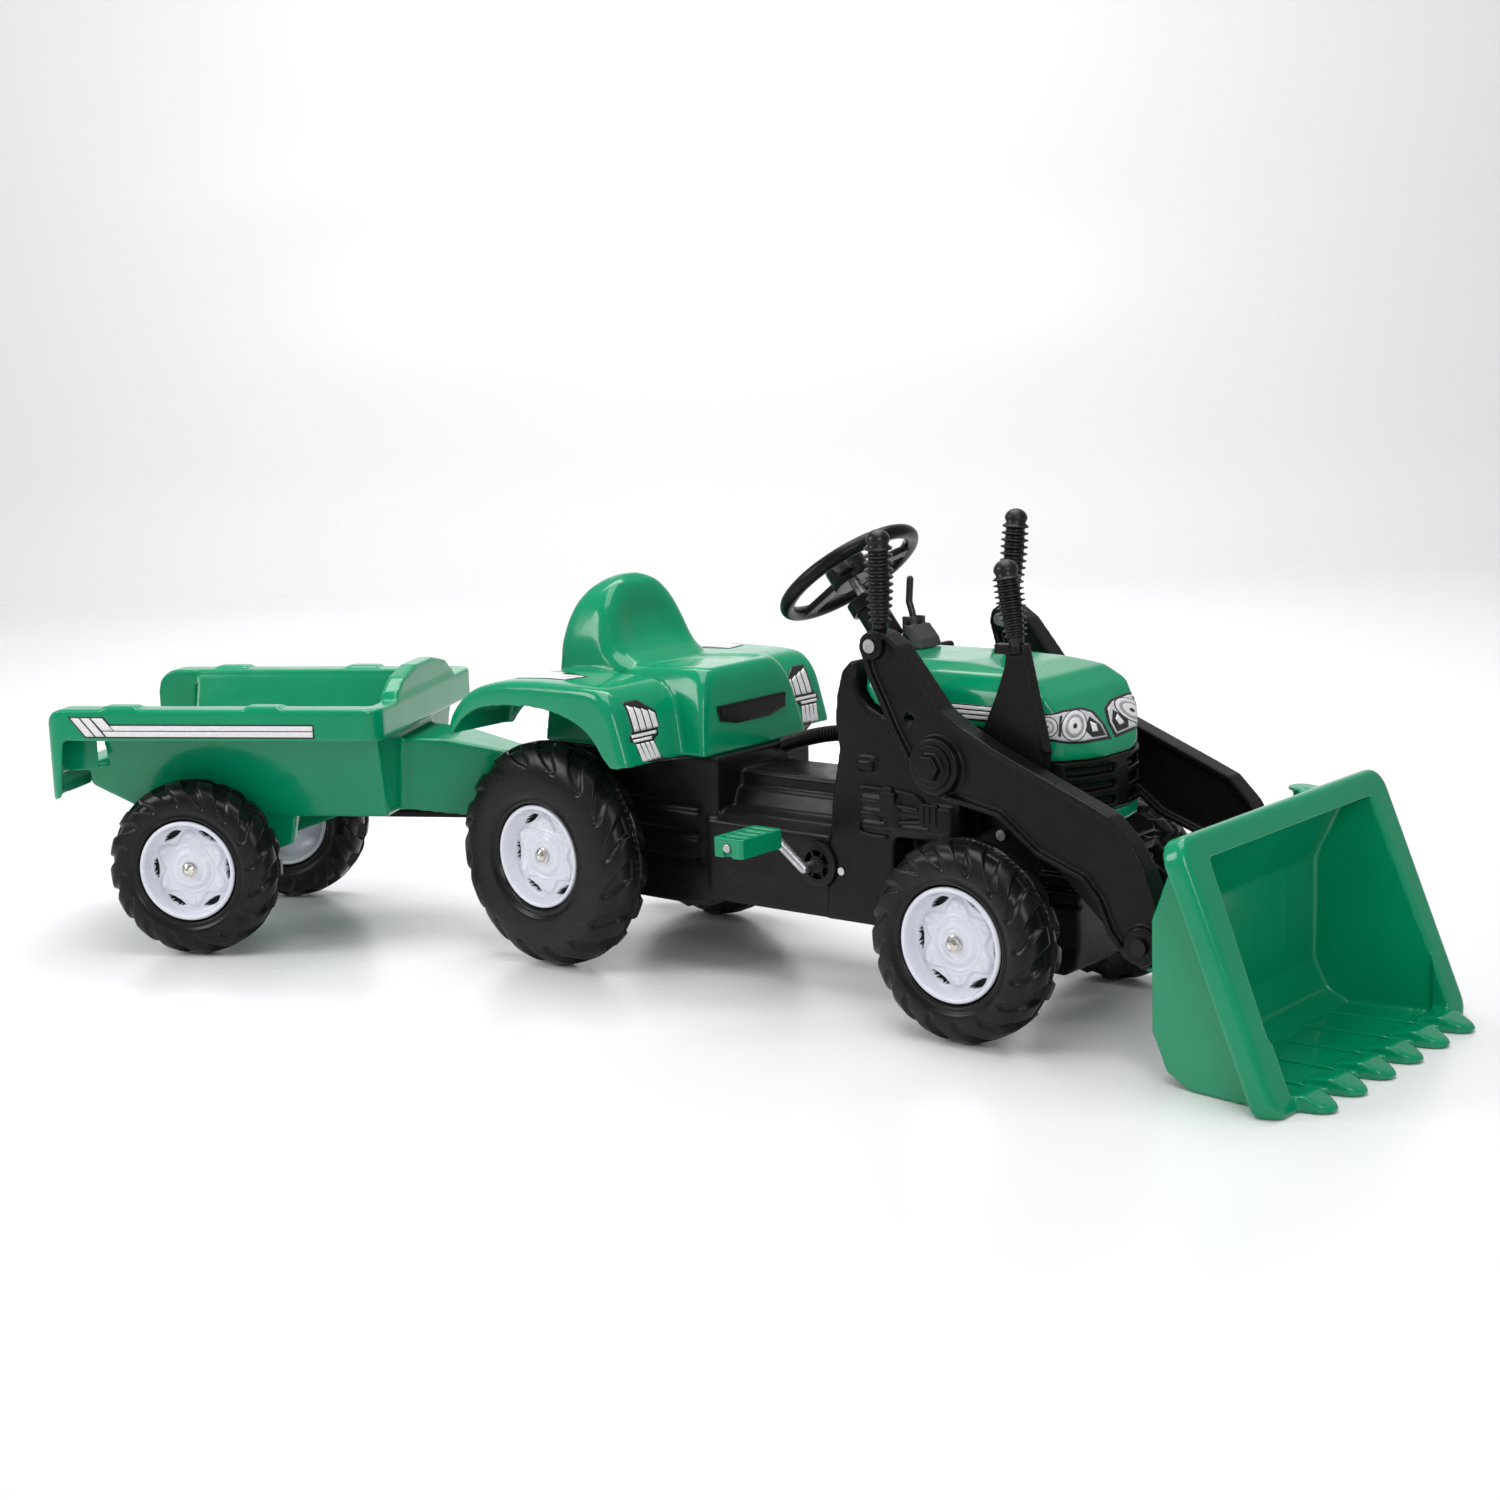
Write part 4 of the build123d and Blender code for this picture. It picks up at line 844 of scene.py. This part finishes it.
def make_stickers(seat_skin):
    hood, tub = surface_of(frame["nodes"]["hood"]), surface_of(frame["nodes"]["trailer_tub"])
    seat = surface_of(seat_skin)
    for side, sign in (("near", -1), ("far", 1)):
        made = hood_stripes(hood, side, sign), headlight(hood, side, sign), fender_art(seat, side, sign)
        stripe = trailer_stripe(tub, side, sign)
        if side == "near":
            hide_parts("hood_stickers")
            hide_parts("headlight_stickers")
            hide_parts("fender_stickers")
            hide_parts("trailer_stickers")


# floor, light and camera
def make_floor():
    made, nodes, links, shader = new_material("floor")
    pale = blended(nodes, links, object_noise(nodes, links, 1.5), (0.86, 0.85, 0.86), (0.885, 0.88, 0.885))
    links.new(pale, shader.inputs["Base Color"])
    gloss = spread(nodes, links, object_noise(nodes, links, 0.8, 1.0), 0.24, 0.3)
    links.new(gloss, shader.inputs["Roughness"])
    shader.inputs["Specular IOR Level"].default_value = 0.6
    size, bend, rise = 9.0, 1.2, 5.0
    section = [(-3.0, 0.0), (size * 0.45, 0.0)]
    for i in range(1, 13):
        angle = math.pi / 2 * i / 12
        section.append((size * 0.45 + bend * math.sin(angle), bend * (1 - math.cos(angle))))
    section.append((size * 0.45 + bend, rise))
    turn = Matrix.Rotation(math.radians(39.4), 4, "Z")
    points = [turn @ Vector((u, v, w)) for v, w in section for u in (-size, size)]
    points = [p - Vector((0, 0, 0.0002)) for p in points]
    faces = [(2 * i, 2 * i + 1, 2 * i + 3, 2 * i + 2) for i in range(len(section) - 1)]
    mesh = bpy.data.meshes.new("floor")
    mesh.from_pydata(points, [], faces)
    mesh.materials.append(made)
    for face in mesh.polygons:
        face.use_smooth = True
    floor = bpy.data.objects.new("floor", mesh)
    bpy.context.scene.collection.objects.link(floor)


def softbox(name, place, target, width, height, power):
    light = bpy.data.lights.new(name, "AREA")
    light.shape = "RECTANGLE"
    light.size, light.size_y = width, height
    light.energy = power
    lamp = bpy.data.objects.new(name, light)
    lamp.location = place
    lamp.rotation_mode = "QUATERNION"
    lamp.rotation_quaternion = (Vector(target) - Vector(place)).to_track_quat("-Z", "Y")
    bpy.context.scene.collection.objects.link(lamp)


def make_lights():
    world = bpy.data.worlds.new("studio")
    world.use_nodes = True
    world.node_tree.nodes["Background"].inputs["Color"].default_value = (0.96, 0.97, 1.0, 1)
    world.node_tree.nodes["Background"].inputs["Strength"].default_value = 0.36
    bpy.context.scene.world = world
    bpy.context.scene.view_settings.view_transform = "Standard"
    softbox("overhead", (0.1, 0.1, 2.4), (0, 0, 0.2), 2.4, 1.6, 46)
    softbox("left_window", (-1.5, -1.9, 1.5), (-0.2, 0, 0.3), 1.0, 1.2, 27)
    softbox("right_front", (2.3, -1.5, 1.4), (0.2, 0, 0.2), 1.0, 1.2, 22)
    softbox("backdrop", (-1.1, 1.3, 3.2), (-2.4, 3.0, 1.2), 3.0, 2.0, 120)


CAMERA_PLACE = (2072.3, -2291.2, 781.1)
CAMERA_TURN, CAMERA_DIP, CAMERA_ROLL = 0.688, 0.1754, 0.0332
CAMERA_LENS = 60.27


def make_camera():
    forward = math.cos(CAMERA_DIP)
    ahead = Vector((-math.sin(CAMERA_TURN) * forward, math.cos(CAMERA_TURN) * forward,
                    -math.sin(CAMERA_DIP)))
    level = Vector((math.cos(CAMERA_TURN), math.sin(CAMERA_TURN), 0))
    below = ahead.cross(level)
    right = level * math.cos(CAMERA_ROLL) + below * math.sin(CAMERA_ROLL)
    down = below * math.cos(CAMERA_ROLL) - level * math.sin(CAMERA_ROLL)
    lens = bpy.data.cameras.new("camera")
    lens.lens = CAMERA_LENS
    lens.sensor_width = 36.0
    camera = bpy.data.objects.new("camera", lens)
    turn = Matrix((right, -down, -ahead)).transposed().to_4x4()
    camera.matrix_world = Matrix.Translation(at(*CAMERA_PLACE)) @ turn
    bpy.context.scene.collection.objects.link(camera)
    bpy.context.scene.camera = camera


paint_nodes()
soften_mouldings()
make_wheels()
make_grips()
make_hose()
engine_relief()
bucket_steps()
make_stickers(make_seat())
make_floor()
make_lights()
make_camera()
